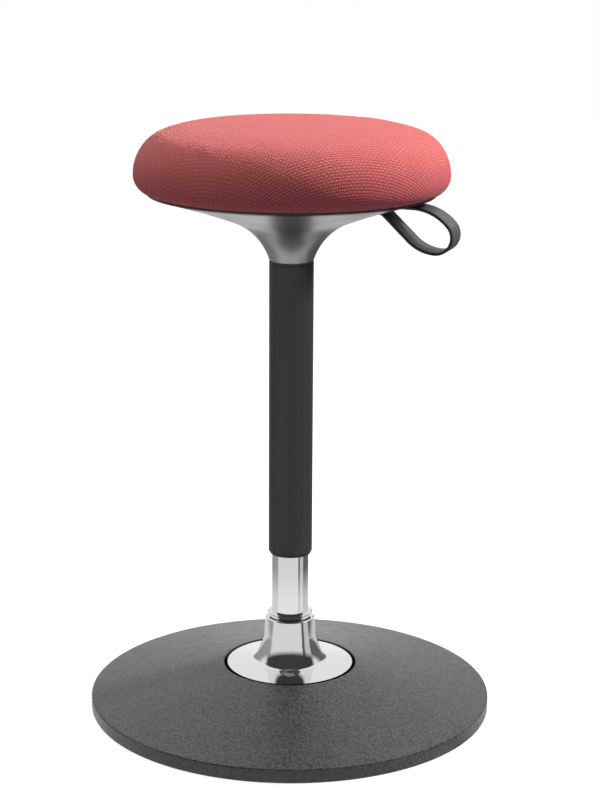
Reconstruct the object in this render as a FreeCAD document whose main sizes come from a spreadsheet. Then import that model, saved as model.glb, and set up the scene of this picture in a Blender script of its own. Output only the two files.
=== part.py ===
import FreeCAD, Part
import Sketcher
import math
import os
import re

# A round wobble stool. A cast base carries a ball joint, the chrome column tilts in it, and the seat
# slides and turns on a gas spring inside the column. Millimetres, +Z up, origin on the floor under
# the middle of the base. Every size below is a cell of the sheet, and the solids are bound to it.

SIZES = [
    # base casting
    ("base_radius", 231.7, "outer radius of the base"),
    ("base_height", 50, "height of the base at its central opening"),
    ("rim_height", 16, "height of the base's top at the rim"),
    ("base_lift", 0.6, "casting above the floor"),
    ("cast_wall", 7, "wall of the casting"),
    ("rim_width", 12.5, "thickness of the outer rim"),
    ("rim_round", 2, "radius of the rim's top edge"),
    ("rim_undercut", 0.6, "drawn-in bottom edge of the rim"),
    ("rim_undercut_rise", 1, "height of the drawn-in edge"),
    ("opening_radius", 76.7, "opening that the flange tilts in"),
    ("opening_chamfer", 0.8, "broken edge of the opening"),
    ("well_depth", 20, "depth of the well below the opening"),
    ("rib_count", 6, "ribs under the base"),
    ("rib_width", 6, "thickness of a rib"),
    ("boss_radius", 6, "screw boss under the base"),
    ("join_sink", 1.8, "ribs and bosses sunk into the wall they stand on"),
    ("cut_reach", 1, "holes cut beyond the face they start from"),
    ("part_gap", 0.1, "clearance between fixed pieces"),
    ("slide_gap", 0.05, "radial clearance of a running fit"),
    ("soft_gap", 0.3, "clearance beside soft and spherical pieces"),
    # floor ring and bottom cover
    ("floor_ring_width", 3.8, "rubber ring that the base stands on"),
    ("floor_ring_inset", 3, "rubber ring inside the rim's edge"),
    ("floor_ring_groove", 3, "depth of its groove"),
    ("cover_wall", 2, "sheet of the bottom cover"),
    ("cover_lift", 2.5, "underside of the bottom cover"),
    ("cover_edge_gap", 1.5, "cover edge to the rim"),
    ("cover_screw_circle", 150, "radius of the cover's screw circle"),
    ("cover_screw_radius", 2, "shank of a cover screw"),
    ("cover_screw_head", 4.5, "head radius of a cover screw"),
    ("cover_screw_head_rise", 1.6, "head thickness of a cover screw"),
    ("cover_screw_length", 12, "shank length of a cover screw"),
    ("screw_head_bevel", 1.3, "drawn-in edge of the cover and pan screw heads"),
    # ball joint
    ("pivot_height", 46, "centre of the ball joint"),
    ("ball_radius", 18, "ball under the column"),
    ("ball_cut", 15, "flat under the ball, below its centre"),
    ("liner_wall", 3, "plastic liner round the ball"),
    ("liner_rise", 8, "liner above the centre"),
    ("liner_drop", 12, "liner below the centre"),
    ("cup_floor", 6.4, "cup under the liner"),
    ("cup_radius", 29, "body of the cup"),
    ("cup_chamfer", 4, "bottom edge of the cup"),
    ("cup_flange_radius", 50, "flange of the cup"),
    ("cup_flange_wall", 6, "thickness of that flange"),
    ("cup_screw_circle", 41, "screw circle of the cup"),
    ("cup_screw_count", 6, "screws of the cup"),
    ("cup_screw_radius", 3, "shank of a cup screw"),
    ("cup_screw_head", 5, "head radius of a cup screw"),
    ("cup_screw_head_rise", 3.5, "head thickness of a cup screw"),
    ("cup_screw_bevel", 2, "bevel of a cup screw's head"),
    ("cup_screw_length", 14, "shank length of a cup screw"),
    ("ring_wall", 4.4, "wall of the ring over the liner"),
    ("ring_rise", 10.5, "ring above the joint's centre"),
    ("ring_skirt", 8, "ring below the joint's centre"),
    ("ring_chamfer", 3.5, "outer top edge of the ring"),
    ("buffer_inner", 54, "inner radius of the rubber buffer"),
    ("buffer_outer", 70, "outer radius of the rubber buffer"),
    # hub and column
    ("neck_radius", 9.5, "neck above the ball"),
    ("shoulder_rise", 18, "shoulder above the joint's centre"),
    ("shoulder_wall", 4, "thickness of the shoulder"),
    ("spigot_length", 26, "hub inside the column tube"),
    ("hub_bore", 12, "cavity in the top of the hub"),
    ("hub_bore_depth", 16, "depth of that cavity"),
    ("inner_tube_radius", 21, "chrome column tube"),
    ("inner_tube_wall", 2, "wall of the chrome tube"),
    ("inner_tube_length", 362, "length of the chrome tube"),
    # chrome bell
    ("flange_radius", 72.9, "edge of the bell's flange"),
    ("flange_height", 49.5, "top of the flange's edge"),
    ("flange_inner_radius", 44, "flange where the bell begins"),
    ("flange_inner_rise", 4.1, "rise of the flange to the bell"),
    ("foot_round", 5, "fillet at the foot of the bell"),
    ("foot_radius", 40.4, "foot of the bell"),
    ("foot_rise", 6.5, "foot above the flange's edge"),
    ("flare_radius", 70, "curve of the bell"),
    ("waist_radius", 30.6, "bell where its curve begins"),
    ("waist_rise", 34.5, "that place above the flange's edge"),
    ("bell_top_radius", 28, "top of the bell"),
    ("bell_rise", 56.8, "top of the bell above the flange's edge"),
    ("bell_round", 1, "broken top edge of the bell"),
    ("bell_wall", 2, "sheet of the bell"),
    ("bell_land", 5, "thick ring at the top of the bell"),
    ("gasket_radius", 23.2, "rubber ring above the bell"),
    ("gasket_rise", 0.8, "height of that ring"),
    ("collar_radius", 25.5, "chrome collar above it"),
    ("collar_foot_radius", 23.6, "drawn-in foot of the collar"),
    ("collar_rise", 6, "height of the collar"),
    ("collar_chamfer", 1, "top edge of the collar"),
    # thrust bearing, rod and piston
    ("rod_plate_wall", 6, "plate that carries the rod"),
    ("washer_wall", 2, "race washers of the thrust bearing"),
    ("washer_radius", 14, "outer radius of those washers"),
    ("ball_space", 4, "height between the washers"),
    ("bearing_ball_radius", 1.9, "balls of the bearing"),
    ("bearing_ball_count", 12, "how many balls"),
    ("bearing_circle", 9.7, "circle of the balls"),
    ("cage_wall", 1.6, "thickness of the cage"),
    ("cage_width", 6, "radial width of the cage"),
    ("rod_radius", 5, "piston rod"),
    ("tail_radius", 4, "thin end of the rod"),
    ("tail_length", 8, "rod below its plate"),
    ("tail_gap", 0.5, "rod to the plate's hole"),
    ("clip_wall", 1.2, "retaining clip"),
    ("clip_radius", 7, "outer radius of the clip"),
    ("clip_groove", 0.8, "depth of the clip's groove"),
    ("bump_length", 15, "rubber bump stop"),
    ("bump_radius", 12, "outer radius of the bump stop"),
    ("bump_bevel", 2, "bevelled top of the bump stop"),
    ("piston_rise", 222, "piston above the bearing"),
    ("piston_length", 15, "piston"),
    ("piston_seal_width", 4, "seal on the piston"),
    ("piston_seal_depth", 2, "groove for that seal"),
    ("rod_end", 6, "rod above the piston"),
    # bushes on the column
    ("guide_length", 35, "bush in the top of the chrome tube"),
    ("guide_head", 4, "head of that bush"),
    ("guide_bevel", 1, "bevelled edge of that head"),
    ("glide_length", 20, "ring on the outside of the chrome tube"),
    ("glide_drop", 5, "that ring below the tube's end"),
    # outer tube and gas cylinder
    ("outer_tube_radius", 25, "black outer tube"),
    ("outer_tube_wall", 2, "wall of the black tube"),
    ("outer_tube_length", 339.2, "length of the black tube"),
    ("outer_tube_round", 0.8, "broken lower edge"),
    ("bush_length", 40, "bush in the black tube's lower end"),
    ("bush_lip", 2.5, "lip of that bush below the tube"),
    ("bush_lip_inset", 1.4, "lip inside the tube's outside"),
    ("bush_lip_bevel", 0.6, "bevelled edge of that lip"),
    ("cylinder_radius", 14, "gas cylinder"),
    ("cylinder_wall", 2, "wall of the gas cylinder"),
    ("cylinder_length", 392, "length of the gas cylinder"),
    ("cylinder_lip", 1.5, "rolled lower end"),
    ("cylinder_lip_radius", 10, "bore of the rolled end"),
    ("cylinder_head", 16, "valve head at the top"),
    ("cone_length", 52, "tapered top of the cylinder"),
    ("cone_taper", 0.8, "how much the taper draws in"),
    ("rod_guide_length", 20, "seal head round the rod"),
    ("valve_radius", 3, "valve pin"),
    ("valve_length", 14, "valve pin inside the cylinder"),
    # seat bracket and funnel
    ("pan_height", 604, "top of the pan, where the board rests"),
    ("pan_wall", 4, "plate of the pan"),
    ("bracket_wall", 3, "plate of the bracket"),
    ("bracket_radius", 70, "radius of that plate"),
    ("bracket_hole", 8, "hole in the middle of that plate"),
    ("socket_radius", 19, "socket of the bracket"),
    ("socket_top_bore", 15, "socket above the cylinder"),
    ("socket_low_gap", 0.3, "socket round the straight cylinder"),
    ("tail_collar_drop", 20, "collar below the tube's top"),
    ("tail_collar_length", 14, "length of the collar in the tube"),
    ("window_width", 16, "window for the lever"),
    ("window_rise", 1, "window above the cylinder"),
    ("ear_wall", 3, "ears for the lever's pin"),
    ("ear_width", 12, "width of an ear"),
    ("ear_drop", 5.5, "ear below the pin"),
    ("funnel_drop", 77.8, "funnel's neck below the pan's top"),
    ("funnel_wall", 3, "wall of the funnel"),
    ("funnel_groove", 1, "shadow groove between tube and funnel"),
    ("funnel_spigot", 1.7, "funnel inside the tube"),
    ("spigot_wall", 1.05, "wall of that spigot"),
    ("funnel_curve", 70, "curve above the neck"),
    ("funnel_low_angle", 18, "lean of the wall at the neck, degrees"),
    ("funnel_high_angle", 68, "lean of the wall after the curve, degrees"),
    ("funnel_outer_curve", 700, "flatter curve out to the rim"),
    ("funnel_rim_radius", 116, "rim of the funnel"),
    ("funnel_rim_rise", 61.5, "rim above the neck"),
    # pan and lip
    ("pan_foot_radius", 156, "pan under the lip"),
    ("pan_foot_drop", 4.4, "that place below the pan's top"),
    ("pan_lip_radius", 161, "outer lip of the pan"),
    ("pan_lip_width", 1.6, "thickness of the lip"),
    ("pan_lip_drop", 1.4, "top of the lip below the board"),
    ("pan_lip_round", 1, "broken edges of the lip"),
    ("hem_drop", 2.4, "step for the cover's hem"),
    ("hem_step_radius", 130, "inner radius of that step"),
    ("pan_hole", 25, "hole in the middle of the pan"),
    # slot, lever and loop
    ("loop_turn", 20, "loop towards the front, degrees from +X"),
    ("slot_width", 38, "slot for the loop"),
    ("slot_start", 80, "inner end of the slot"),
    ("slot_end", 148, "outer end of the slot"),
    ("lever_drop", 5, "lever below the bracket's plate"),
    ("lever_wall", 4, "thickness of the lever"),
    ("lever_width", 12, "width of the lever"),
    ("lever_pivot", 24, "lever's pin behind the column's axis"),
    ("lever_tail", 6, "lever behind its pin"),
    ("lever_pin_radius", 2.5, "pin of the lever"),
    ("lever_boss", 4.5, "boss round the pin"),
    ("lever_pin_length", 23, "length of the pin"),
    ("paddle_length", 22, "wide front end of the lever, under the strap"),
    ("paddle_lead", 2, "that end behind the strap's ends"),
    ("valve_gap", 0.3, "lever to the valve pin"),
    ("valve_rise", 5.7, "valve pin above the cylinder"),
    ("valve_round", 1, "broken top edge of the valve pin"),
    ("loop_width", 34, "width of the strap"),
    ("loop_wall", 3.2, "thickness of the strap"),
    ("loop_start", 84, "strap's ends on the lever"),
    ("loop_straight", 143.3, "where the upper strand begins to bend"),
    ("loop_top_curve", 54.3, "first bend"),
    ("loop_top_angle", 47.5, "heading after it, degrees"),
    ("loop_end_curve", 18.3, "round end of the loop"),
    ("loop_end_angle", 182.9, "heading after it, degrees"),
    ("loop_low_curve", 46.2, "bend of the lower strand"),
    ("loop_low_angle", 223.3, "heading after it, degrees"),
    ("loop_tail_curve", 10, "bend up to the lever"),
    ("loop_plate_wall", 1.2, "plate under the strap's end"),
    ("loop_plate_length", 15, "length of that plate"),
    ("loop_plate_inset", 1, "plate inside the strap's edges"),
    ("rivet_radius", 2, "rivets through the strap"),
    ("rivet_head", 3.6, "head radius of a rivet"),
    ("rivet_head_rise", 1.2, "head thickness of a rivet"),
    ("rivet_inset", 10, "rivets in front of the strap's ends"),
    ("rivet_spacing", 20, "distance between the rivets"),
    # seat screws, board and cushion
    ("bolt_circle", 50, "bracket bolts"),
    ("bolt_count", 4, "how many bracket bolts"),
    ("bolt_radius", 3, "shank of a bracket bolt"),
    ("bolt_head", 5, "head radius of a bracket bolt"),
    ("bolt_head_rise", 4, "head thickness of a bracket bolt"),
    ("bolt_end_gap", 0.5, "bolt's end below the board's top"),
    ("nut_radius", 4, "barrel of a nut in the board"),
    ("nut_flange", 9.5, "flange of that nut"),
    ("nut_flange_wall", 1.4, "thickness of the flange"),
    ("nut_lift", 1, "barrel above the board's underside"),
    ("pan_screw_circle", 100, "screws that hold the pan"),
    ("pan_screw_radius", 2, "shank of a pan screw"),
    ("pan_screw_head", 4.5, "head radius of a pan screw"),
    ("pan_screw_head_rise", 2.4, "head thickness of a pan screw"),
    ("pan_screw_bite", 9, "pan screw inside the board"),
    ("pan_screw_point", 2, "pointed end of a pan screw"),
    ("board_radius", 156, "plywood board"),
    ("board_wall", 12, "thickness of the board"),
    ("board_round", 2, "broken edges of the board"),
    ("cushion_radius", 175.3, "widest radius of the cushion"),
    ("cushion_widest", 18, "widest place above the pan's top"),
    ("cushion_low_curve", 19.7, "curve of the side below it"),
    ("cushion_side_curve", 45.1, "curve of the side above it"),
    ("cushion_side_radius", 145, "where that curve ends"),
    ("cushion_edge_curve", 150, "curve of the top's edge"),
    ("cushion_edge_radius", 106.6, "where that curve ends"),
    ("cushion_edge_rise", 7.8, "rise of the top's edge"),
    ("crown_rise", 3.7, "crown of the top"),
    ("fabric_wall", 1.6, "fabric with its backing"),
    ("hem_cord_radius", 0.7, "cord that draws the hem in"),
]


def fill_sheet(doc):
    """The driving sizes, one row each: name, value, meaning."""
    sheet = doc.addObject("Spreadsheet::Sheet", "Sizes")
    for row, (name, value, meaning) in enumerate(SIZES, start=1):
        sheet.set(f"A{row}", name)
        sheet.set(f"B{row}", str(value))
        sheet.setAlias(f"B{row}", name)
        sheet.set(f"C{row}", meaning)
    doc.recompute()
    return sheet


doc = FreeCAD.newDocument("WobbleStool")
sheet = fill_sheet(doc)
NAMES = {name for name, value, meaning in SIZES}


def bound(text):
    """An expression on the sheet, written with the plain names of its cells."""
    return re.sub(r"[a-z][a-z_]+", lambda word: ("Sizes." if word[0] in NAMES else "") + word[0], text)


def number(text):
    """The value of such an expression now."""
    result = sheet.evalExpression(bound(text))
    return float(getattr(result, "Value", result))


def plane_of(body, role):
    """One of the body's own origin planes or axes."""
    for feature in body.Origin.OriginFeatures:
        if feature.Role == role:
            return feature
    raise ValueError(role)


def new_body(label, around_loop=False):
    """A body with its own label. Bodies on the loop's side are turned towards it."""
    body = doc.addObject("PartDesign::Body", label)
    body.Label = label
    if around_loop:
        spin = FreeCAD.Rotation(FreeCAD.Vector(0, 0, 1), -number("loop_turn"))
        body.Placement = FreeCAD.Placement(FreeCAD.Vector(0, 0, 0), spin)
    return body


def new_sketch(body, name, role="XZ_Plane", height="0"):
    """A sketch on one of the body's planes, lifted along the plane's normal."""
    sketch = body.newObject("Sketcher::SketchObject", name)
    sketch.AttachmentSupport = [(plane_of(body, role), "")]
    sketch.MapMode = "FlatFace"
    if height != "0":
        sketch.setExpression(".AttachmentOffset.Base.z", bound(height))
    return sketch


def pin_point(sketch, edge, end, across, up):
    """Holds one end of an edge at a distance across and up from the sketch's origin."""
    for kind, text, axis in (("DistanceX", across, -2), ("DistanceY", up, -1)):
        if text == "0":
            sketch.addConstraint(Sketcher.Constraint("PointOnObject", edge, end, axis))
            continue
        place = sketch.addConstraint(Sketcher.Constraint(kind, -1, 1, edge, end, number(text)))
        sketch.setExpression(f"Constraints[{place}]", bound(text))


def centred_radius(start, end):
    """The radius of the circle through two points whose centre is on the vertical axis."""
    middle_up = (end.x ** 2 + end.y ** 2 - start.x ** 2 - start.y ** 2) / (2 * (end.y - start.y))
    return math.hypot(start.x, start.y - middle_up)


def arc_between(start, end, radius, turn):
    """The circle arc under a half turn from start to end that bends left or right."""
    chord = end - start
    side = FreeCAD.Vector(-chord.y, chord.x, 0)
    side.normalize()
    if turn == "right":
        side = side * -1
    reach = math.sqrt(max(radius ** 2 - (chord.Length / 2) ** 2, 0))
    middle = start + chord * 0.5 + side * reach
    if turn == "right":
        start, end = end, start
    first = math.atan2(start.y - middle.y, start.x - middle.x)
    last = math.atan2(end.y - middle.y, end.x - middle.x)
    if last < first:
        last += 2 * math.pi
    circle = Part.Circle(middle, FreeCAD.Vector(0, 0, 1), radius)
    return Part.ArcOfCircle(circle, first, last)


def draw(sketch, corners):
    """A closed outline. A corner is (across, up) after a line, or (across, up, radius, turn) after an arc.

    An arc whose radius is "centred" has its centre on the vertical axis.
    """
    places = [FreeCAD.Vector(number(corner[0]), number(corner[1]), 0) for corner in corners]
    edges = []
    for index, corner in enumerate(corners):
        start = places[index - 1]
        end = places[index]
        if len(corner) == 2:
            edge = sketch.addGeometry(Part.LineSegment(start, end), False)
            edges.append((edge, 1, 2))
            continue
        radius, turn = corner[2:]
        if radius == "centred":
            edge = sketch.addGeometry(arc_between(start, end, centred_radius(start, end), turn), False)
            sketch.addConstraint(Sketcher.Constraint("PointOnObject", edge, 3, -2))
        else:
            edge = sketch.addGeometry(arc_between(start, end, number(radius), turn), False)
            place = sketch.addConstraint(Sketcher.Constraint("Radius", edge, number(radius)))
            sketch.setExpression(f"Constraints[{place}]", bound(radius))
        edges.append((edge, 1, 2) if turn == "left" else (edge, 2, 1))
    for index, (edge, start, end) in enumerate(edges):
        following = edges[(index + 1) % len(edges)]
        sketch.addConstraint(Sketcher.Constraint("Coincident", edge, end, following[0], following[1]))
        pin_point(sketch, edge, end, corners[index][0], corners[index][1])


def rectangle(low_across, low_up, high_across, high_up):
    """The corners of a rectangle."""
    return [(high_across, low_up), (high_across, high_up), (low_across, high_up), (low_across, low_up)]


def turn_outline(body, name, corners, axis_place="0"):
    """Revolves an outline about the vertical, at the middle or at a place across."""
    sketch = new_sketch(body, name + "_outline")
    draw(sketch, corners)
    feature = body.newObject("PartDesign::Revolution", name)
    feature.Profile = sketch
    if axis_place == "0":
        feature.ReferenceAxis = (sketch, ["V_Axis"])
    else:
        across = number(axis_place)
        stub = 10
        line = Part.LineSegment(FreeCAD.Vector(across, 0, 0), FreeCAD.Vector(across, stub, 0))
        edge = sketch.addGeometry(line, True)
        sketch.addConstraint(Sketcher.Constraint("Vertical", edge))
        sketch.addConstraint(Sketcher.Constraint("DistanceY", edge, 1, edge, 2, stub))
        pin_point(sketch, edge, 1, axis_place, "0")
        feature.ReferenceAxis = (sketch, ["Axis0"])
    feature.Angle = 360
    sketch.Visibility = False
    doc.recompute()
    return feature


def pad_outline(body, name, corners, role, length, height="0", midplane=False):
    """Pads an outline along its plane's normal."""
    sketch = new_sketch(body, name + "_outline", role, height)
    draw(sketch, corners)
    feature = body.newObject("PartDesign::Pad", name)
    feature.Profile = sketch
    if midplane:
        feature.SideType = "Symmetric"
    feature.setExpression("Length", bound(length))
    doc.recompute()
    return feature


def cut_outline(body, name, corners, role, length, height="0", midplane=False):
    """Cuts an outline against its plane's normal, and makes sure that it cut."""
    before = body.Shape.Volume
    sketch = new_sketch(body, name + "_outline", role, height)
    draw(sketch, corners)
    feature = body.newObject("PartDesign::Pocket", name)
    feature.Profile = sketch
    if midplane:
        feature.SideType = "Symmetric"
    feature.setExpression("Length", bound(length))
    doc.recompute()
    if not feature.Shape.Volume < before:
        raise RuntimeError(f"{name} cut nothing")
    return feature


def round_sketch(body, name, across, up, radius, role, height):
    """A sketch of one circle."""
    sketch = new_sketch(body, name + "_circle", role, height)
    centre = FreeCAD.Vector(number(across), number(up), 0)
    edge = sketch.addGeometry(Part.Circle(centre, FreeCAD.Vector(0, 0, 1), number(radius)), False)
    place = sketch.addConstraint(Sketcher.Constraint("Radius", edge, number(radius)))
    sketch.setExpression(f"Constraints[{place}]", bound(radius))
    pin_point(sketch, edge, 3, across, up)
    return sketch


def cut_round(body, name, across, up, radius, length, height="0", role="XY_Plane", midplane=False):
    """Drills one round hole against the plane's normal, and makes sure that it cut."""
    before = body.Shape.Volume
    feature = body.newObject("PartDesign::Pocket", name)
    feature.Profile = round_sketch(body, name, across, up, radius, role, height)
    if midplane:
        feature.SideType = "Symmetric"
    feature.setExpression("Length", bound(length))
    doc.recompute()
    if not feature.Shape.Volume < before:
        raise RuntimeError(f"{name} cut nothing")
    return feature


def pad_round(body, name, across, up, radius, length, height="0", role="XY_Plane", midplane=False):
    """Pads one round boss along the plane's normal."""
    feature = body.newObject("PartDesign::Pad", name)
    feature.Profile = round_sketch(body, name, across, up, radius, role, height)
    if midplane:
        feature.SideType = "Symmetric"
    feature.setExpression("Length", bound(length))
    doc.recompute()
    return feature


def repeat_round(body, name, features, count):
    """Repeats features round the vertical axis."""
    pattern = body.newObject("PartDesign::PolarPattern", name)
    pattern.Originals = features
    pattern.Axis = (plane_of(body, "Z_Axis"), [""])
    pattern.Angle = 360
    pattern.setExpression("Occurrences", bound(count))
    body.Tip = pattern
    doc.recompute()
    return pattern


def turned_piece(label, corners, around_loop=False):
    """A sub-part that is one revolved outline."""
    body = new_body(label, around_loop)
    turn_outline(body, label + "_turned", corners)
    return body


def screw_group(label, circle, corners, count, around_loop=False):
    """Equal screws on a circle: corners are (from the screw's own axis, up)."""
    body = new_body(label, around_loop)
    moved = [(f"{circle} + {corner[0]}",) + tuple(corner[1:]) for corner in corners]
    screw = turn_outline(body, label + "_screw", moved, circle)
    repeat_round(body, label + "_ring", [screw], count)
    return body


def sine(angle):
    return f"sin({angle} * 1deg)"


def cosine(angle):
    return f"cos({angle} * 1deg)"


# Heights and radii that several pieces share, worked out from the sheet

CAVITY = "(base_radius - rim_width)"
FALL = "((base_height - rim_height) / (base_radius - opening_radius))"
STEEPNESS = f"sqrt(1 + {FALL} ^ 2)"
WELL_FLOOR = "(base_height - well_depth)"
WELL_OUTER = "(opening_radius + cast_wall)"
COVER_TOP = "(cover_lift + cover_wall)"
LINER_INNER = "(ball_radius + soft_gap)"
LINER_OUTER = f"({LINER_INNER} + liner_wall)"
CUP_INNER = f"({LINER_OUTER} + soft_gap)"
CUP_FLANGE_TOP = f"({WELL_FLOOR} + cup_flange_wall)"
RING_INNER = "(cup_radius + slide_gap)"
RING_OUTER = f"({RING_INNER} + ring_wall)"
SHOULDER = "(pivot_height + shoulder_rise)"
TUBE_LOW = f"({SHOULDER} + shoulder_wall)"
TUBE_HIGH = f"({TUBE_LOW} + inner_tube_length)"
TUBE_BORE = "(inner_tube_radius - inner_tube_wall)"
SPIGOT_TOP = f"({TUBE_LOW} + spigot_length)"
PLATE_TOP = f"({SPIGOT_TOP} + rod_plate_wall)"
RACE_TOP = f"({PLATE_TOP} + washer_wall)"
UPPER_RACE = f"({RACE_TOP} + ball_space)"
ROD_SHOULDER = f"({UPPER_RACE} + washer_wall)"
PISTON_LOW = f"({ROD_SHOULDER} + piston_rise)"
BELL_TOP = "(flange_height + bell_rise)"
GASKET_TOP = f"({BELL_TOP} + gasket_rise)"
TUBE_FIT = "(inner_tube_radius + slide_gap)"
OUTER_BORE = "(outer_tube_radius - outer_tube_wall)"
OUTER_FIT = f"({OUTER_BORE} - slide_gap)"
NECK = "(pan_height - funnel_drop)"
OUTER_HIGH = f"({NECK} - funnel_groove)"
OUTER_LOW = f"({OUTER_HIGH} - outer_tube_length)"
PAN_UNDER = "(pan_height - pan_wall)"
PLATE_UNDER = f"({PAN_UNDER} - bracket_wall)"
LEVER_HIGH = f"({PLATE_UNDER} - lever_drop)"
LEVER_LOW = f"({LEVER_HIGH} - lever_wall)"
LEVER_MID = f"({LEVER_LOW} + lever_wall / 2)"
VALVE_HIGH = f"({LEVER_LOW} - valve_gap)"
CYLINDER_HIGH = f"({VALVE_HIGH} - valve_rise)"
CYLINDER_LOW = f"({CYLINDER_HIGH} - cylinder_length)"
CYLINDER_BORE = "(cylinder_radius - cylinder_wall)"
CONE_TOP = "(cylinder_radius - cone_taper)"
CONE_LOW = f"({CYLINDER_HIGH} - cone_length)"
PADDLE = "(loop_start - paddle_lead)"
RIVETS = "(loop_start + rivet_inset)"
BOARD_TOP = "(pan_height + board_wall)"
HEM_LOW = "(pan_height - fabric_wall)"


def shell_top(across):
    """Height of the base's sloping top at a radius."""
    return f"(base_height - ({across} - opening_radius) * {FALL})"


def shell_under(across):
    """Height of the underside of that sloping wall."""
    return f"({shell_top(across)} - cast_wall * {STEEPNESS})"


def flange_top(across):
    """Height of the chrome flange's top at a radius."""
    share = f"(flange_radius - {across}) / (flange_radius - flange_inner_radius)"
    return f"(flange_height + flange_inner_rise * {share})"


def make_base_plate():
    """The hollow casting: sloping top, rim, well for the joint, ribs and screw bosses."""
    body = new_body("base_plate")
    edge = "(opening_radius + opening_chamfer)"
    tangent = f"(rim_round * ({STEEPNESS} - {FALL}))"
    bend = f"(base_radius - {tangent} / {STEEPNESS})"
    groove_outer = "(base_radius - floor_ring_inset)"
    groove_inner = f"({groove_outer} - floor_ring_width - 2 * part_gap)"
    groove_top = "(base_lift + floor_ring_groove)"
    turn_outline(body, "casting", [
        ("opening_radius", "base_height - opening_chamfer"),
        (edge, shell_top(edge)),
        (bend, shell_top(bend)),
        ("base_radius", f"{shell_top('base_radius')} - {tangent}", "rim_round", "right"),
        ("base_radius", "base_lift + rim_undercut_rise"),
        ("base_radius - rim_undercut", "base_lift"),
        (groove_outer, "base_lift"),
        (groove_outer, groove_top),
        (groove_inner, groove_top),
        (groove_inner, "base_lift"),
        (CAVITY, "base_lift"),
        (CAVITY, shell_under(CAVITY)),
        (WELL_OUTER, shell_under(WELL_OUTER)),
        (WELL_OUTER, f"{WELL_FLOOR} - cast_wall"),
        ("cup_radius + part_gap", f"{WELL_FLOOR} - cast_wall"),
        ("cup_radius + part_gap", WELL_FLOOR),
        ("opening_radius", WELL_FLOOR),
    ])
    inner = f"({WELL_OUTER} - join_sink)"
    outer = f"({CAVITY} + join_sink)"
    rib = pad_outline(body, "rib", [
        (outer, COVER_TOP),
        (outer, f"{shell_under(outer)} + join_sink"),
        (inner, f"{shell_under(inner)} + join_sink"),
        (inner, COVER_TOP),
    ], "XZ_Plane", "rib_width", midplane=True)
    repeat_round(body, "ribs", [rib], "rib_count")
    across = f"cover_screw_circle * {cosine('180 / rib_count')}"
    along = f"cover_screw_circle * {sine('180 / rib_count')}"
    length = f"{shell_under('cover_screw_circle')} + join_sink - {COVER_TOP}"
    boss = pad_round(body, "boss", across, along, "boss_radius", length, COVER_TOP)
    repeat_round(body, "bosses", [boss], "rib_count")
    top = f"{COVER_TOP} + cover_screw_length + cut_reach"
    hole = cut_round(body, "boss_hole", across, along, "cover_screw_radius + part_gap",
                     "cover_screw_length + 2 * cut_reach", top)
    repeat_round(body, "boss_holes", [hole], "rib_count")
    hole = cut_round(body, "well_hole", "cup_screw_circle", "0", "cup_screw_radius + part_gap",
                     "cast_wall + 2 * cut_reach", f"{WELL_FLOOR} + cut_reach")
    repeat_round(body, "well_holes", [hole], "cup_screw_count")


def make_base_fittings():
    """Rubber floor ring, bottom cover and its screws."""
    outer = "(base_radius - floor_ring_inset - part_gap)"
    inner = f"({outer} - floor_ring_width)"
    turned_piece("floor_ring", rectangle(inner, "0", outer, "base_lift + floor_ring_groove"))
    body = new_body("bottom_cover")
    across = f"cover_screw_circle * {cosine('180 / rib_count')}"
    along = f"cover_screw_circle * {sine('180 / rib_count')}"
    pad_round(body, "sheet", "0", "0", f"{CAVITY} - cover_edge_gap", "cover_wall", "cover_lift")
    hole = cut_round(body, "sheet_hole", across, along, "cover_screw_radius + part_gap",
                     "cover_wall + 2 * cut_reach", f"{COVER_TOP} + cut_reach")
    repeat_round(body, "sheet_holes", [hole], "rib_count")
    body = screw_group("cover_screws", "cover_screw_circle", [
        ("0", "cover_lift - cover_screw_head_rise"),
        ("cover_screw_head - screw_head_bevel", "cover_lift - cover_screw_head_rise"),
        ("cover_screw_head", "cover_lift - cover_screw_head_rise / 2"),
        ("cover_screw_head", "cover_lift"),
        ("cover_screw_radius", "cover_lift"),
        ("cover_screw_radius", "cover_lift + cover_screw_length"),
        ("0", "cover_lift + cover_screw_length"),
    ], "rib_count")
    half_step = FreeCAD.Rotation(FreeCAD.Vector(0, 0, 1), 180 / number("rib_count"))
    body.Placement = FreeCAD.Placement(FreeCAD.Vector(0, 0, 0), half_step)


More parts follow.
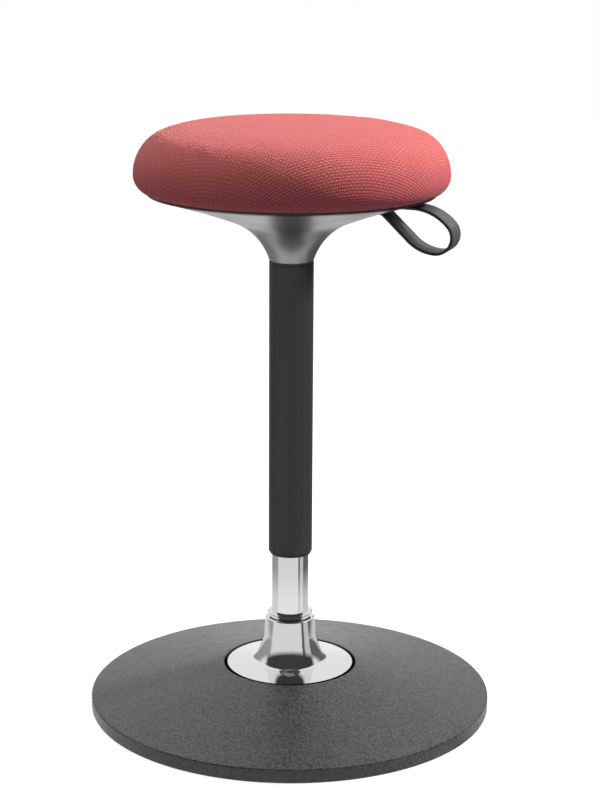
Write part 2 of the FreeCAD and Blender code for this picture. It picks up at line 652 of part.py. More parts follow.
def make_joint():
    """Cup, screws, ring, liner and rubber buffer round the ball."""
    cup_low = f"(pivot_height - {CUP_INNER} - cup_floor)"
    body = turned_piece("joint_cup", [
        ("0", cup_low),
        ("cup_radius - cup_chamfer", cup_low),
        ("cup_radius", f"{cup_low} + cup_chamfer"),
        ("cup_radius", WELL_FLOOR),
        ("cup_flange_radius", WELL_FLOOR),
        ("cup_flange_radius", CUP_FLANGE_TOP),
        ("cup_radius", CUP_FLANGE_TOP),
        ("cup_radius", "pivot_height"),
        (CUP_INNER, "pivot_height"),
        ("0", f"pivot_height - {CUP_INNER}", "centred", "right"),
    ])
    hole = cut_round(body, "flange_hole", "cup_screw_circle", "0", "cup_screw_radius + part_gap",
                     "cup_flange_wall + 2 * cut_reach", f"{CUP_FLANGE_TOP} + cut_reach")
    repeat_round(body, "flange_holes", [hole], "cup_screw_count")
    screw_group("cup_screws", "cup_screw_circle", [
        ("0", f"{CUP_FLANGE_TOP} - cup_screw_length"),
        ("cup_screw_radius", f"{CUP_FLANGE_TOP} - cup_screw_length"),
        ("cup_screw_radius", CUP_FLANGE_TOP),
        ("cup_screw_head", CUP_FLANGE_TOP),
        ("cup_screw_head", f"{CUP_FLANGE_TOP} + cup_screw_head_rise - cup_screw_bevel"),
        ("cup_screw_head - cup_screw_bevel", f"{CUP_FLANGE_TOP} + cup_screw_head_rise"),
        ("0", f"{CUP_FLANGE_TOP} + cup_screw_head_rise"),
    ], "cup_screw_count")
    mouth = f"sqrt({CUP_INNER} ^ 2 - ring_rise ^ 2)"
    turned_piece("cup_ring", [
        (RING_INNER, "pivot_height - ring_skirt"),
        (RING_OUTER, "pivot_height - ring_skirt"),
        (RING_OUTER, "pivot_height + ring_rise - ring_chamfer"),
        (f"{RING_OUTER} - ring_chamfer", "pivot_height + ring_rise"),
        (mouth, "pivot_height + ring_rise"),
        (CUP_INNER, "pivot_height", "centred", "right"),
        (RING_INNER, "pivot_height"),
    ])
    turned_piece("socket_liner", [
        (f"sqrt({LINER_INNER} ^ 2 - liner_drop ^ 2)", "pivot_height - liner_drop"),
        (f"sqrt({LINER_INNER} ^ 2 - liner_rise ^ 2)", "pivot_height + liner_rise", "centred", "left"),
        (f"sqrt({LINER_OUTER} ^ 2 - liner_rise ^ 2)", "pivot_height + liner_rise"),
        (f"sqrt({LINER_OUTER} ^ 2 - liner_drop ^ 2)", "pivot_height - liner_drop", "centred", "right"),
    ])
    turned_piece("buffer_ring", [
        ("buffer_inner", WELL_FLOOR),
        ("buffer_outer", WELL_FLOOR),
        ("buffer_outer", f"{flange_top('buffer_outer')} - bell_wall - soft_gap"),
        ("buffer_inner", f"{flange_top('buffer_inner')} - bell_wall - soft_gap"),
    ])


def make_column():
    """Ball hub, chrome tube, and the plate and bushes in the tube."""
    turned_piece("tilt_hub", [
        ("0", "pivot_height - ball_cut"),
        ("sqrt(ball_radius ^ 2 - ball_cut ^ 2)", "pivot_height - ball_cut"),
        ("neck_radius", "pivot_height + sqrt(ball_radius ^ 2 - neck_radius ^ 2)", "centred", "left"),
        ("neck_radius", SHOULDER),
        ("inner_tube_radius", SHOULDER),
        ("inner_tube_radius", TUBE_LOW),
        (f"{TUBE_BORE} - slide_gap", TUBE_LOW),
        (f"{TUBE_BORE} - slide_gap", SPIGOT_TOP),
        ("hub_bore", SPIGOT_TOP),
        ("hub_bore", f"{SPIGOT_TOP} - hub_bore_depth"),
        ("0", f"{SPIGOT_TOP} - hub_bore_depth"),
    ])
    turned_piece("inner_tube", rectangle(TUBE_BORE, TUBE_LOW, "inner_tube_radius", TUBE_HIGH))
    turned_piece("rod_plate", rectangle("tail_radius + tail_gap", SPIGOT_TOP,
                                        f"{TUBE_BORE} - slide_gap", PLATE_TOP))
    bore = "(cylinder_radius + slide_gap)"
    turned_piece("cylinder_guide", [
        (bore, f"{TUBE_HIGH} - guide_length"),
        (f"{TUBE_BORE} - slide_gap", f"{TUBE_HIGH} - guide_length"),
        (f"{TUBE_BORE} - slide_gap", TUBE_HIGH),
        ("inner_tube_radius", TUBE_HIGH),
        ("inner_tube_radius", f"{TUBE_HIGH} + guide_head - guide_bevel"),
        ("inner_tube_radius - guide_bevel", f"{TUBE_HIGH} + guide_head"),
        (bore, f"{TUBE_HIGH} + guide_head"),
    ])
    glide_top = f"({TUBE_HIGH} - glide_drop)"
    turned_piece("tube_glide", rectangle(TUBE_FIT, f"{glide_top} - glide_length", OUTER_FIT, glide_top))


def make_bell():
    """Chrome bell with its flange, the rubber ring above it and the collar."""
    waist = "(flange_height + waist_rise)"
    foot = "(flange_height + foot_rise)"
    turned_piece("bell_cover", [
        (TUBE_FIT, BELL_TOP),
        (TUBE_FIT, f"{BELL_TOP} - bell_land"),
        ("bell_top_radius - bell_wall", f"{BELL_TOP} - bell_land"),
        ("waist_radius - bell_wall", waist),
        ("foot_radius - bell_wall", foot, "flare_radius + bell_wall", "left"),
        ("flange_inner_radius", f"{flange_top('flange_inner_radius')} - bell_wall"),
        ("flange_radius", "flange_height - bell_wall"),
        ("flange_radius", "flange_height"),
        ("flange_inner_radius", flange_top("flange_inner_radius")),
        ("foot_radius", foot, "foot_round", "right"),
        ("waist_radius", waist, "flare_radius", "right"),
        ("bell_top_radius", f"{BELL_TOP} - bell_round"),
        ("bell_top_radius - bell_round", BELL_TOP),
    ])
    turned_piece("collar_gasket", rectangle(TUBE_FIT, BELL_TOP, "gasket_radius", GASKET_TOP))
    turned_piece("collar_ring", [
        (TUBE_FIT, GASKET_TOP),
        ("collar_foot_radius", GASKET_TOP),
        ("collar_radius", f"{GASKET_TOP} + collar_rise - collar_chamfer"),
        ("collar_radius - collar_chamfer", f"{GASKET_TOP} + collar_rise"),
        (TUBE_FIT, f"{GASKET_TOP} + collar_rise"),
    ])


def make_bearing():
    """Thrust bearing under the piston rod."""
    inner = "(tail_radius + tail_gap)"
    turned_piece("lower_washer", rectangle(inner, PLATE_TOP, "washer_radius", RACE_TOP))
    turned_piece("upper_washer", rectangle("tail_radius + part_gap", UPPER_RACE,
                                           "washer_radius", ROD_SHOULDER))
    middle = f"({RACE_TOP} + ball_space / 2)"
    cage_low = f"{middle} - cage_wall / 2"
    cage_high = f"{middle} + cage_wall / 2"
    body = turned_piece("bearing_cage", rectangle("bearing_circle - cage_width / 2", cage_low,
                                                  "bearing_circle + cage_width / 2", cage_high))
    hole = cut_round(body, "ball_hole", "bearing_circle", "0", "bearing_ball_radius + part_gap",
                     "cage_wall + 2 * cut_reach", f"{cage_high} + cut_reach")
    repeat_round(body, "ball_holes", [hole], "bearing_ball_count")
    screw_group("bearing_balls", "bearing_circle", [
        ("0", f"{middle} - bearing_ball_radius"),
        ("bearing_ball_radius", middle, "bearing_ball_radius", "left"),
        ("0", f"{middle} + bearing_ball_radius", "bearing_ball_radius", "left"),
    ], "bearing_ball_count")


def make_rod():
    """Piston rod with its clip, bump stop, piston and seal."""
    low = f"({SPIGOT_TOP} - tail_length)"
    clip_high = f"({SPIGOT_TOP} - soft_gap)"
    clip_low = f"({clip_high} - clip_wall - part_gap)"
    groove = "(tail_radius - clip_groove)"
    rod_high = f"({PISTON_LOW} + piston_length + rod_end)"
    turned_piece("piston_rod", [
        ("0", low),
        ("tail_radius", low),
        ("tail_radius", clip_low),
        (groove, clip_low),
        (groove, clip_high),
        ("tail_radius", clip_high),
        ("tail_radius", ROD_SHOULDER),
        ("rod_radius", ROD_SHOULDER),
        ("rod_radius", rod_high),
        ("0", rod_high),
    ])
    turned_piece("rod_clip", rectangle(f"{groove} + part_gap", f"{clip_low} + part_gap / 2", "clip_radius",
                                       f"{clip_high} - part_gap / 2"))
    bump_high = f"({ROD_SHOULDER} + bump_length)"
    turned_piece("bump_stop", [
        ("rod_radius + part_gap", ROD_SHOULDER),
        ("bump_radius", ROD_SHOULDER),
        ("bump_radius", f"{bump_high} - bump_bevel"),
        ("bump_radius - bump_bevel", bump_high),
        ("rod_radius + part_gap", bump_high),
    ])
    skin = f"({CYLINDER_BORE} - slide_gap)"
    seal_low = f"({PISTON_LOW} + piston_length / 2 - piston_seal_width / 2)"
    seal_high = f"({seal_low} + piston_seal_width)"
    turned_piece("piston", [
        ("rod_radius + slide_gap", PISTON_LOW),
        (skin, PISTON_LOW),
        (skin, seal_low),
        (f"{skin} - piston_seal_depth", seal_low),
        (f"{skin} - piston_seal_depth", seal_high),
        (skin, seal_high),
        (skin, f"{PISTON_LOW} + piston_length"),
        ("rod_radius + slide_gap", f"{PISTON_LOW} + piston_length"),
    ])
    seal_inner = f"{skin} - piston_seal_depth + slide_gap"
    turned_piece("piston_seal", rectangle(seal_inner, f"{seal_low} + slide_gap",
                                          skin, f"{seal_high} - slide_gap"))


def make_outer_tube():
    """Black outer tube and the bush in its lower end."""
    turned_piece("outer_tube", [
        (OUTER_BORE, OUTER_LOW),
        ("outer_tube_radius - outer_tube_round", OUTER_LOW),
        ("outer_tube_radius", f"{OUTER_LOW} + outer_tube_round"),
        ("outer_tube_radius", OUTER_HIGH),
        (OUTER_BORE, OUTER_HIGH),
    ])
    lip = "(outer_tube_radius - bush_lip_inset)"
    turned_piece("tube_bush", [
        (TUBE_FIT, f"{OUTER_LOW} - bush_lip"),
        (f"{lip} - bush_lip_bevel", f"{OUTER_LOW} - bush_lip"),
        (lip, f"{OUTER_LOW} - bush_lip + bush_lip_bevel"),
        (lip, OUTER_LOW),
        (OUTER_FIT, OUTER_LOW),
        (OUTER_FIT, f"{OUTER_LOW} + bush_length"),
        (TUBE_FIT, f"{OUTER_LOW} + bush_length"),
    ])


def make_gas_cylinder():
    """Gas cylinder, its seal head and the valve pin."""
    hole = "(valve_radius + slide_gap)"
    head = f"({CYLINDER_HIGH} - cylinder_head)"
    lip = f"({CYLINDER_LOW} + cylinder_lip)"
    turned_piece("gas_cylinder", [
        ("cylinder_lip_radius", CYLINDER_LOW),
        ("cylinder_radius", CYLINDER_LOW),
        ("cylinder_radius", CONE_LOW),
        (CONE_TOP, CYLINDER_HIGH),
        (hole, CYLINDER_HIGH),
        (hole, head),
        (CYLINDER_BORE, head),
        (CYLINDER_BORE, lip),
        ("cylinder_lip_radius", lip),
    ])
    turned_piece("rod_guide", rectangle("rod_radius + slide_gap", lip, f"{CYLINDER_BORE} - slide_gap",
                                        f"{lip} + rod_guide_length"))
    turned_piece("valve_pin", [
        ("0", f"{CYLINDER_HIGH} - valve_length"),
        ("valve_radius", f"{CYLINDER_HIGH} - valve_length"),
        ("valve_radius", f"{VALVE_HIGH} - valve_round"),
        ("valve_radius - valve_round", VALVE_HIGH),
        ("0", VALVE_HIGH),
    ])


def make_seat_bracket():
    """Steel bracket: collar in the black tube, tapered socket, plate, ears and the lever's window."""
    low = f"({OUTER_HIGH} - tail_collar_drop)"
    body = turned_piece("seat_bracket", [
        ("cylinder_radius + socket_low_gap", low),
        (OUTER_FIT, low),
        (OUTER_FIT, f"{low} + tail_collar_length"),
        ("socket_radius", f"{low} + tail_collar_length"),
        ("socket_radius", PLATE_UNDER),
        ("bracket_radius", PLATE_UNDER),
        ("bracket_radius", PAN_UNDER),
        ("bracket_hole", PAN_UNDER),
        ("bracket_hole", PLATE_UNDER),
        ("socket_top_bore", PLATE_UNDER),
        ("socket_top_bore", CYLINDER_HIGH),
        (f"{CONE_TOP} + slide_gap", CYLINDER_HIGH),
        ("cylinder_radius + slide_gap", CONE_LOW),
        ("cylinder_radius + socket_low_gap", CONE_LOW),
    ], around_loop=True)
    ear_low = f"({LEVER_MID} - ear_drop)"
    inner = "(lever_width / 2 + soft_gap)"
    for name, side in (("near_ear", "-1"), ("far_ear", "1")):
        near = f"({side} * ({inner} + ear_wall / 2) - ear_wall / 2)"
        far = f"({side} * ({inner} + ear_wall / 2) + ear_wall / 2)"
        corners = rectangle("-lever_pivot - ear_width / 2", near, "-lever_pivot + ear_width / 2", far)
        pad_outline(body, name, corners, "XY_Plane", f"{PLATE_UNDER} + join_sink - {ear_low}", ear_low)
    window = rectangle("-socket_radius - cut_reach", "-window_width / 2",
                       "socket_radius + cut_reach", "window_width / 2")
    cut_outline(body, "window", window, "XY_Plane",
                f"{PLATE_UNDER} - {CYLINDER_HIGH} - window_rise", PLATE_UNDER)
    cut_round(body, "pin_hole", "-lever_pivot", LEVER_MID, "lever_pin_radius + slide_gap",
              "lever_pin_length + 2 * cut_reach", role="XZ_Plane", midplane=True)
    hole = cut_round(body, "bolt_hole", f"bolt_circle * {cosine('45')}", f"bolt_circle * {sine('45')}",
                     "bolt_radius + part_gap", "bracket_wall + 2 * cut_reach", f"{PAN_UNDER} + cut_reach")
    repeat_round(body, "bolt_holes", [hole], "bolt_count")


def make_funnel():
    """The flared funnel between tube and pan, with the slot that the loop hangs through."""
    low, high = "funnel_low_angle", "funnel_high_angle"
    bend_across = f"(outer_tube_radius + funnel_curve * ({cosine(low)} - {cosine(high)}))"
    bend_up = f"({NECK} + funnel_curve * ({sine(high)} - {sine(low)}))"
    rim_up = f"({NECK} + funnel_rim_rise)"
    body = turned_piece("funnel", [
        (f"{OUTER_FIT} - spigot_wall", f"{OUTER_HIGH} - funnel_spigot"),
        (OUTER_FIT, f"{OUTER_HIGH} - funnel_spigot"),
        (OUTER_FIT, OUTER_HIGH),
        ("outer_tube_radius - funnel_groove", OUTER_HIGH),
        ("outer_tube_radius - funnel_groove", NECK),
        ("outer_tube_radius", NECK),
        (bend_across, bend_up, "funnel_curve", "right"),
        ("funnel_rim_radius", rim_up, "funnel_outer_curve", "right"),
        ("funnel_rim_radius", f"{rim_up} + funnel_wall"),
        (f"{bend_across} - funnel_wall * {cosine(high)}", f"{bend_up} + funnel_wall * {sine(high)}",
         "funnel_outer_curve + funnel_wall", "left"),
        (f"outer_tube_radius - funnel_wall * {cosine(low)}", f"{NECK} + funnel_wall * {sine(low)}",
         "funnel_curve + funnel_wall", "left"),
    ], around_loop=True)
    slot = rectangle("slot_start", "-slot_width / 2", "slot_end", "slot_width / 2")
    cut_outline(body, "slot", slot, "XY_Plane", f"{PAN_UNDER} - {NECK}", PAN_UNDER)


def make_seat_pan():
    """Black pan under the board: plate, sloping skirt, lip and the step for the cover's hem."""
    inner = "(funnel_rim_radius + soft_gap)"
    rim_up = f"({NECK} + funnel_rim_rise)"
    foot_up = "(pan_height - pan_foot_drop)"
    lip_top = "(pan_height - pan_lip_drop)"
    lip_inner = "(pan_lip_radius - pan_lip_width)"
    skirt = f"(({foot_up} - {rim_up}) / (pan_foot_radius - {inner}))"
    joined = f"({inner} + ({PAN_UNDER} - {rim_up} - funnel_wall) / {skirt})"
    body = turned_piece("seat_pan", [
        (inner, rim_up),
        ("pan_foot_radius", foot_up),
        ("pan_lip_radius - pan_lip_round", f"{foot_up} + pan_lip_round"),
        ("pan_lip_radius", f"{foot_up} + 2 * pan_lip_round"),
        ("pan_lip_radius", lip_top),
        (lip_inner, lip_top),
        (lip_inner, "pan_height - hem_drop"),
        ("hem_step_radius", "pan_height - hem_drop"),
        ("hem_step_radius", "pan_height"),
        ("pan_hole", "pan_height"),
        ("pan_hole", PAN_UNDER),
        (joined, PAN_UNDER),
        (inner, f"{rim_up} + funnel_wall"),
    ], around_loop=True)
    slot = rectangle("slot_start", "-slot_width / 2", "slot_end", "slot_width / 2")
    cut_outline(body, "slot", slot, "XY_Plane", f"{PAN_UNDER} - {NECK}", PAN_UNDER)
    for name, circle, radius in (("bolt", "bolt_circle", "bolt_radius"),
                                 ("screw", "pan_screw_circle", "pan_screw_radius")):
        hole = cut_round(body, name + "_hole", f"{circle} * {cosine('45')}", f"{circle} * {sine('45')}",
                         f"{radius} + part_gap", "pan_wall + 2 * cut_reach", "pan_height + cut_reach")
        repeat_round(body, name + "_holes", [hole], "bolt_count")


def make_seat_screws():
    """Bolts, nuts and wood screws between bracket, pan and board, all on the diagonals."""
    def on_diagonal(body):
        spin = FreeCAD.Rotation(FreeCAD.Vector(0, 0, 1), 45 - number("loop_turn"))
        body.Placement = FreeCAD.Placement(FreeCAD.Vector(0, 0, 0), spin)

    nut_low = "(pan_height + nut_lift)"
    flange_low = f"({BOARD_TOP} - nut_flange_wall)"
    on_diagonal(screw_group("bracket_bolts", "bolt_circle", [
        ("0", f"{PLATE_UNDER} - bolt_head_rise"),
        ("bolt_head", f"{PLATE_UNDER} - bolt_head_rise"),
        ("bolt_head", PLATE_UNDER),
        ("bolt_radius", PLATE_UNDER),
        ("bolt_radius", f"{BOARD_TOP} - bolt_end_gap"),
        ("0", f"{BOARD_TOP} - bolt_end_gap"),
    ], "bolt_count"))
    on_diagonal(screw_group("board_nuts", "bolt_circle", [
        ("bolt_radius + slide_gap", nut_low),
        ("nut_radius", nut_low),
        ("nut_radius", flange_low),
        ("nut_flange", flange_low),
        ("nut_flange", BOARD_TOP),
        ("bolt_radius + slide_gap", BOARD_TOP),
    ], "bolt_count"))
    on_diagonal(screw_group("pan_screws", "pan_screw_circle", [
        ("0", f"{PAN_UNDER} - pan_screw_head_rise"),
        ("pan_screw_head - screw_head_bevel", f"{PAN_UNDER} - pan_screw_head_rise"),
        ("pan_screw_head", f"{PAN_UNDER} - pan_screw_head_rise / 2"),
        ("pan_screw_head", PAN_UNDER),
        ("pan_screw_radius", PAN_UNDER),
        ("pan_screw_radius", "pan_height + pan_screw_bite - pan_screw_point"),
        ("0", "pan_height + pan_screw_bite"),
    ], "bolt_count"))


def make_seat_board():
    """Plywood board with its bolt and screw holes."""
    body = turned_piece("seat_board", [
        ("0", "pan_height"),
        ("board_radius - board_round", "pan_height"),
        ("board_radius", "pan_height + board_round"),
        ("board_radius", f"{BOARD_TOP} - board_round"),
        ("board_radius - board_round", BOARD_TOP),
        ("0", BOARD_TOP),
    ], around_loop=True)
    across = f"bolt_circle * {cosine('45')}"
    along = f"bolt_circle * {sine('45')}"
    barrel = cut_round(body, "barrel_hole", across, along, "nut_radius + part_gap",
                       "board_wall + 2 * cut_reach", f"{BOARD_TOP} + cut_reach")
    repeat_round(body, "barrel_holes", [barrel], "bolt_count")
    sink = cut_round(body, "flange_sink", across, along, "nut_flange + part_gap",
                     "nut_flange_wall + cut_reach", f"{BOARD_TOP} + cut_reach")
    repeat_round(body, "flange_sinks", [sink], "bolt_count")
    across = f"pan_screw_circle * {cosine('45')}"
    along = f"pan_screw_circle * {sine('45')}"
    pilot = cut_round(body, "pilot", across, along, "pan_screw_radius + slide_gap",
                      "pan_screw_bite + 2 * cut_reach", "pan_height + pan_screw_bite + cut_reach")
    repeat_round(body, "pilots", [pilot], "bolt_count")


def cushion_side(inset, low_across, low_up):
    """The cushion's outline from its lower edge to the crown, drawn in by an inset."""
    widest = "(pan_height + cushion_widest)"
    side_reach = "(cushion_side_radius - cushion_radius + cushion_side_curve)"
    side_up = f"({widest} + sqrt(cushion_side_curve ^ 2 - {side_reach} ^ 2))"
    edge_up = f"({side_up} + cushion_edge_rise)"
    crown_up = f"({edge_up} + crown_rise)"
    share = f"({side_reach} / cushion_side_curve)"
    return [
        (low_across, low_up),
        (f"cushion_radius - {inset}", widest, f"cushion_low_curve - {inset}", "left"),
        (f"cushion_side_radius - {inset} * {share}", f"{side_up} - {inset} * sqrt(1 - {share} ^ 2)",
         f"cushion_side_curve - {inset}", "left"),
        ("cushion_edge_radius", f"{edge_up} - {inset}", f"cushion_edge_curve - {inset}", "left"),
        ("0", f"{crown_up} - {inset}", "centred", "left"),
    ]


def low_point(inset, up):
    """Radius of the drawn-in lower side at a height."""
    centre = "(cushion_radius - cushion_low_curve)"
    widest = "(pan_height + cushion_widest)"
    return f"({centre} + sqrt((cushion_low_curve - {inset}) ^ 2 - ({widest} - {up}) ^ 2))"


def make_cushion():
    """Foam, and the fabric cover drawn over it and under the board."""
    foam_inset = "(fabric_wall + part_gap)"
    foam_low = f"({HEM_LOW} + 2 * fabric_wall)"
    corners = cushion_side(foam_inset, low_point(foam_inset, foam_low), foam_low)
    corners.append(("0", f"{BOARD_TOP} + part_gap"))
    corners.append(("board_radius + part_gap", f"{BOARD_TOP} + part_gap"))
    corners.append(("board_radius + part_gap", foam_low))
    turned_piece("seat_foam", corners)
    hem_inner = "(hem_step_radius + 4 * hem_cord_radius)"
    outer = cushion_side("0", low_point("0", HEM_LOW), HEM_LOW)
    inner_low = f"({HEM_LOW} + fabric_wall)"
    inner = cushion_side("fabric_wall", low_point("fabric_wall", inner_low), inner_low)
    hem = [(hem_inner, HEM_LOW)]
    hem_end = [(hem_inner, inner_low)]
    turned_piece("seat_cover", hem + outer + reversed_path(inner) + hem_end)
    body = new_body("hem_cord")
    ring = body.newObject("PartDesign::AdditiveTorus", "cord")
    ring.setExpression("Radius1", bound("hem_step_radius + 2 * hem_cord_radius"))
    ring.setExpression("Radius2", bound("hem_cord_radius"))
    ring.AttachmentSupport = [(plane_of(body, "XY_Plane"), "")]
    ring.MapMode = "FlatFace"
    ring.setExpression(".AttachmentOffset.Base.z", bound("pan_height - hem_cord_radius - slide_gap"))
    doc.recompute()


def make_lever():
    """Release lever on its pin, and the rivets and plate that hold the loop."""
    body = new_body("release_lever", around_loop=True)
    pad_outline(body, "bar", [
        ("-lever_pivot - lever_tail", "-lever_width / 2"),
        (f"{PADDLE} - lever_width / 2", "-lever_width / 2"),
        (PADDLE, "-loop_width / 2"),
        (f"{PADDLE} + paddle_length", "-loop_width / 2"),
        (f"{PADDLE} + paddle_length", "loop_width / 2"),
        (PADDLE, "loop_width / 2"),
        (f"{PADDLE} - lever_width / 2", "lever_width / 2"),
        ("-lever_pivot - lever_tail", "lever_width / 2"),
    ], "XY_Plane", "lever_wall", LEVER_LOW)
    pad_round(body, "boss", "-lever_pivot", LEVER_MID, "lever_boss", "lever_width",
              role="XZ_Plane", midplane=True)
    cut_round(body, "pin_bore", "-lever_pivot", LEVER_MID, "lever_pin_radius + slide_gap",
              "lever_width + 2 * cut_reach", role="XZ_Plane", midplane=True)
    for name, side in (("near_rivet", "-1"), ("far_rivet", "1")):
        cut_round(body, name, RIVETS, f"{side} * rivet_spacing / 2", "rivet_radius + part_gap",
                  "lever_wall + 2 * cut_reach", f"{LEVER_HIGH} + cut_reach")
    body = new_body("pivot_pin", around_loop=True)
    pad_round(body, "pin", "-lever_pivot", LEVER_MID, "lever_pin_radius", "lever_pin_length",
              role="XZ_Plane", midplane=True)
    body = new_body("loop_plate", around_loop=True)
    high = f"({LEVER_LOW} - loop_wall)"
    corners = rectangle("loop_start", "loop_plate_inset - loop_width / 2",
                        "loop_start + loop_plate_length", "loop_width / 2 - loop_plate_inset")
    pad_outline(body, "plate", corners, "XY_Plane", "loop_plate_wall", f"{high} - loop_plate_wall")
    for name, side in (("near_hole", "-1"), ("far_hole", "1")):
        cut_round(body, name, RIVETS, f"{side} * rivet_spacing / 2", "rivet_radius + part_gap",
                  "loop_plate_wall + 2 * cut_reach", f"{high} + cut_reach")
    body = new_body("loop_rivets", around_loop=True)
    foot = f"({high} - loop_plate_wall)"
    top = f"({LEVER_HIGH} + loop_wall)"
    for name, side in (("near", "-1"), ("far", "1")):
        along = f"{side} * rivet_spacing / 2"
        pad_round(body, name + "_shank", RIVETS, along, "rivet_radius", f"{top} - {foot}", foot)
        pad_round(body, name + "_foot", RIVETS, along, "rivet_head", "rivet_head_rise",
                  f"{foot} - rivet_head_rise")
        pad_round(body, name + "_head", RIVETS, along, "rivet_head", "rivet_head_rise", top)


def make_pull_loop():
    """The strap: two strands from the lever that meet in a round end, padded across its width."""
    # Headings are turned clockwise from outwards. The middle line leaves the lever's top, bends
    # three times, runs straight up again and bends back to the lever's underside.
    first = ("loop_straight", f"({LEVER_HIGH} + loop_wall / 2 - loop_top_curve)")
    second = shifted(first, "loop_top_curve - loop_end_curve", "loop_top_angle")
    third = shifted(second, "loop_end_curve - loop_low_curve", "loop_end_angle")
    low_up = f"({LEVER_LOW} - loop_wall / 2)"
    turn = "loop_low_angle"
    rise = (f"({low_up} - loop_tail_curve * (1 + {cosine(turn)})"
            f" - {third[1]} - loop_low_curve * {cosine(turn)})")
    run = f"({rise} / {sine(turn)})"
    tail = (f"({third[0]} + loop_low_curve * {sine(turn)} - {run} * {cosine(turn)}"
            f" + loop_tail_curve * {sine(turn)})",
            f"({low_up} - loop_tail_curve)")

    def side(offset, bend):
        """One face of the strap, from its upper end to its lower end."""
        return [
            ("loop_start", f"{LEVER_HIGH} + loop_wall / 2 + {offset}"),
            ("loop_straight", f"{LEVER_HIGH} + loop_wall / 2 + {offset}"),
            shifted(first, f"loop_top_curve + {offset}", "loop_top_angle")
            + (f"loop_top_curve + {offset}", bend),
            shifted(second, f"loop_end_curve + {offset}", "(loop_top_angle + loop_end_angle) / 2")
            + (f"loop_end_curve + {offset}", bend),
            shifted(second, f"loop_end_curve + {offset}", "loop_end_angle")
            + (f"loop_end_curve + {offset}", bend),
            shifted(third, f"loop_low_curve + {offset}", "loop_low_angle")
            + (f"loop_low_curve + {offset}", bend),
            shifted(tail, f"{offset} - loop_tail_curve", "loop_low_angle"),
            (tail[0], f"{low_up} - {offset}", f"loop_tail_curve - {offset}", "left"),
            ("loop_start", f"{low_up} - {offset}"),
        ]

    outer = side("(loop_wall / 2)", "right")
    inner = side("(-loop_wall / 2)", "right")
    body = new_body("pull_loop", around_loop=True)
    pad_outline(body, "strap", outer + reversed_path(inner), "XZ_Plane", "loop_width", midplane=True)
    for name, across in (("near_rivet", "-1"), ("far_rivet", "1")):
        cut_round(body, name, RIVETS, f"{across} * rivet_spacing / 2", "rivet_radius + part_gap",
                  "4 * loop_wall + lever_wall", f"{LEVER_HIGH} + 2 * loop_wall")


def shifted(place, distance, angle):
    """A place moved by a distance at a heading's normal."""
    across = f"({place[0]} + ({distance}) * {sine(angle)})"
    up = f"({place[1]} + ({distance}) * {cosine(angle)})"
    return across, up


def reversed_path(corners):
    """The same open path drawn the other way round."""
    other = {"left": "right", "right": "left"}
    result = []
    for index in range(len(corners) - 1, -1, -1):
        bend = ()
        if index + 1 < len(corners) and len(corners[index + 1]) == 4:
            bend = (corners[index + 1][2], other[corners[index + 1][3]])
        result.append(tuple(corners[index][:2]) + bend)
    return result


def check_document():
    """Stops if a feature failed or a sub-part has no valid solid."""
    for item in doc.Objects:
        if "Invalid" in item.State or "Error" in item.State:
            raise RuntimeError(f"{item.Name}: {item.State}")
    for body in sub_parts():
        if body.Shape.isNull() or not body.Shape.isValid() or not body.Shape.Solids:
            raise RuntimeError(f"{body.Label} has no valid solid")


def sub_parts():
    return [item for item in doc.Objects if item.TypeId == "PartDesign::Body"]


def main():
    make_base_plate()
    make_base_fittings()
    make_joint()
    make_column()
    make_bell()
    make_bearing()
    make_rod()
    make_outer_tube()
    make_gas_cylinder()
    make_seat_bracket()
    make_funnel()
    make_seat_pan()
    make_seat_screws()
    make_seat_board()
    make_cushion()
    make_lever()
    make_pull_loop()
    doc.recompute()
    check_document()
    os.makedirs("parts", exist_ok=True)
    for body in sub_parts():
        body.Shape.exportStep(f"parts/{body.Label}.step")
        print(body.Label, len(body.Shape.Solids), round(body.Shape.Volume))


main()
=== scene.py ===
# Wobble stool: finishes, cushion, strap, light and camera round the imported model. Metres, +Z up.
import math

import bpy
import numpy as np
from mathutils import Matrix, Vector
from mathutils.noise import noise as noise_at


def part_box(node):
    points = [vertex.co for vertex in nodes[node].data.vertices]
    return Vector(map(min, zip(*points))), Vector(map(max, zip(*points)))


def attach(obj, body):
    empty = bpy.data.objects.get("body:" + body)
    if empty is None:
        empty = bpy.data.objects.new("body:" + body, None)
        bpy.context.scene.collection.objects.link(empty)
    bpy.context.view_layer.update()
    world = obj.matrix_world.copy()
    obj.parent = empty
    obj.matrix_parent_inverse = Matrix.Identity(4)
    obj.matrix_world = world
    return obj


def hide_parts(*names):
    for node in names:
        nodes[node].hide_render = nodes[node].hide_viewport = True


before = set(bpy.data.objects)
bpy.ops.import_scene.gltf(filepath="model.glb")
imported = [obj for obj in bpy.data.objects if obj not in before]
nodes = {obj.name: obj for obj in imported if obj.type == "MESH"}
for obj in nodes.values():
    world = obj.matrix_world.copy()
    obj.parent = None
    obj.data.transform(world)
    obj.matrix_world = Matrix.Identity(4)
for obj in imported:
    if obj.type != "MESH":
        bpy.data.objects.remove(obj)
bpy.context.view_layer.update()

scene = bpy.context.scene

# Cushion, in metres. Its width, top and lower edge come from the frame.
COVER_LOW, COVER_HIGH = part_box("seat_cover")
_, BOARD_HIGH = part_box("seat_board")
CUSHION_RADIUS = COVER_HIGH.x
CUSHION_TOP = COVER_HIGH.z
CUSHION_HEM = COVER_LOW.z
WIDEST_RISE = 0.0196
LOW_CURVE = 0.0197
SIDE_CURVE = 0.0451
SIDE_RADIUS = 0.145
EDGE_CURVE = 0.150
EDGE_RADIUS = 0.1066
EDGE_RISE = 0.0078
CROWN_RISE = 0.0037
BOARD_GAP = 0.0003
FABRIC_WALL = 0.0016
HEM_INNER = 0.1328
LUMP_SIZE = 0.045
LUMP_RISE = 0.0008

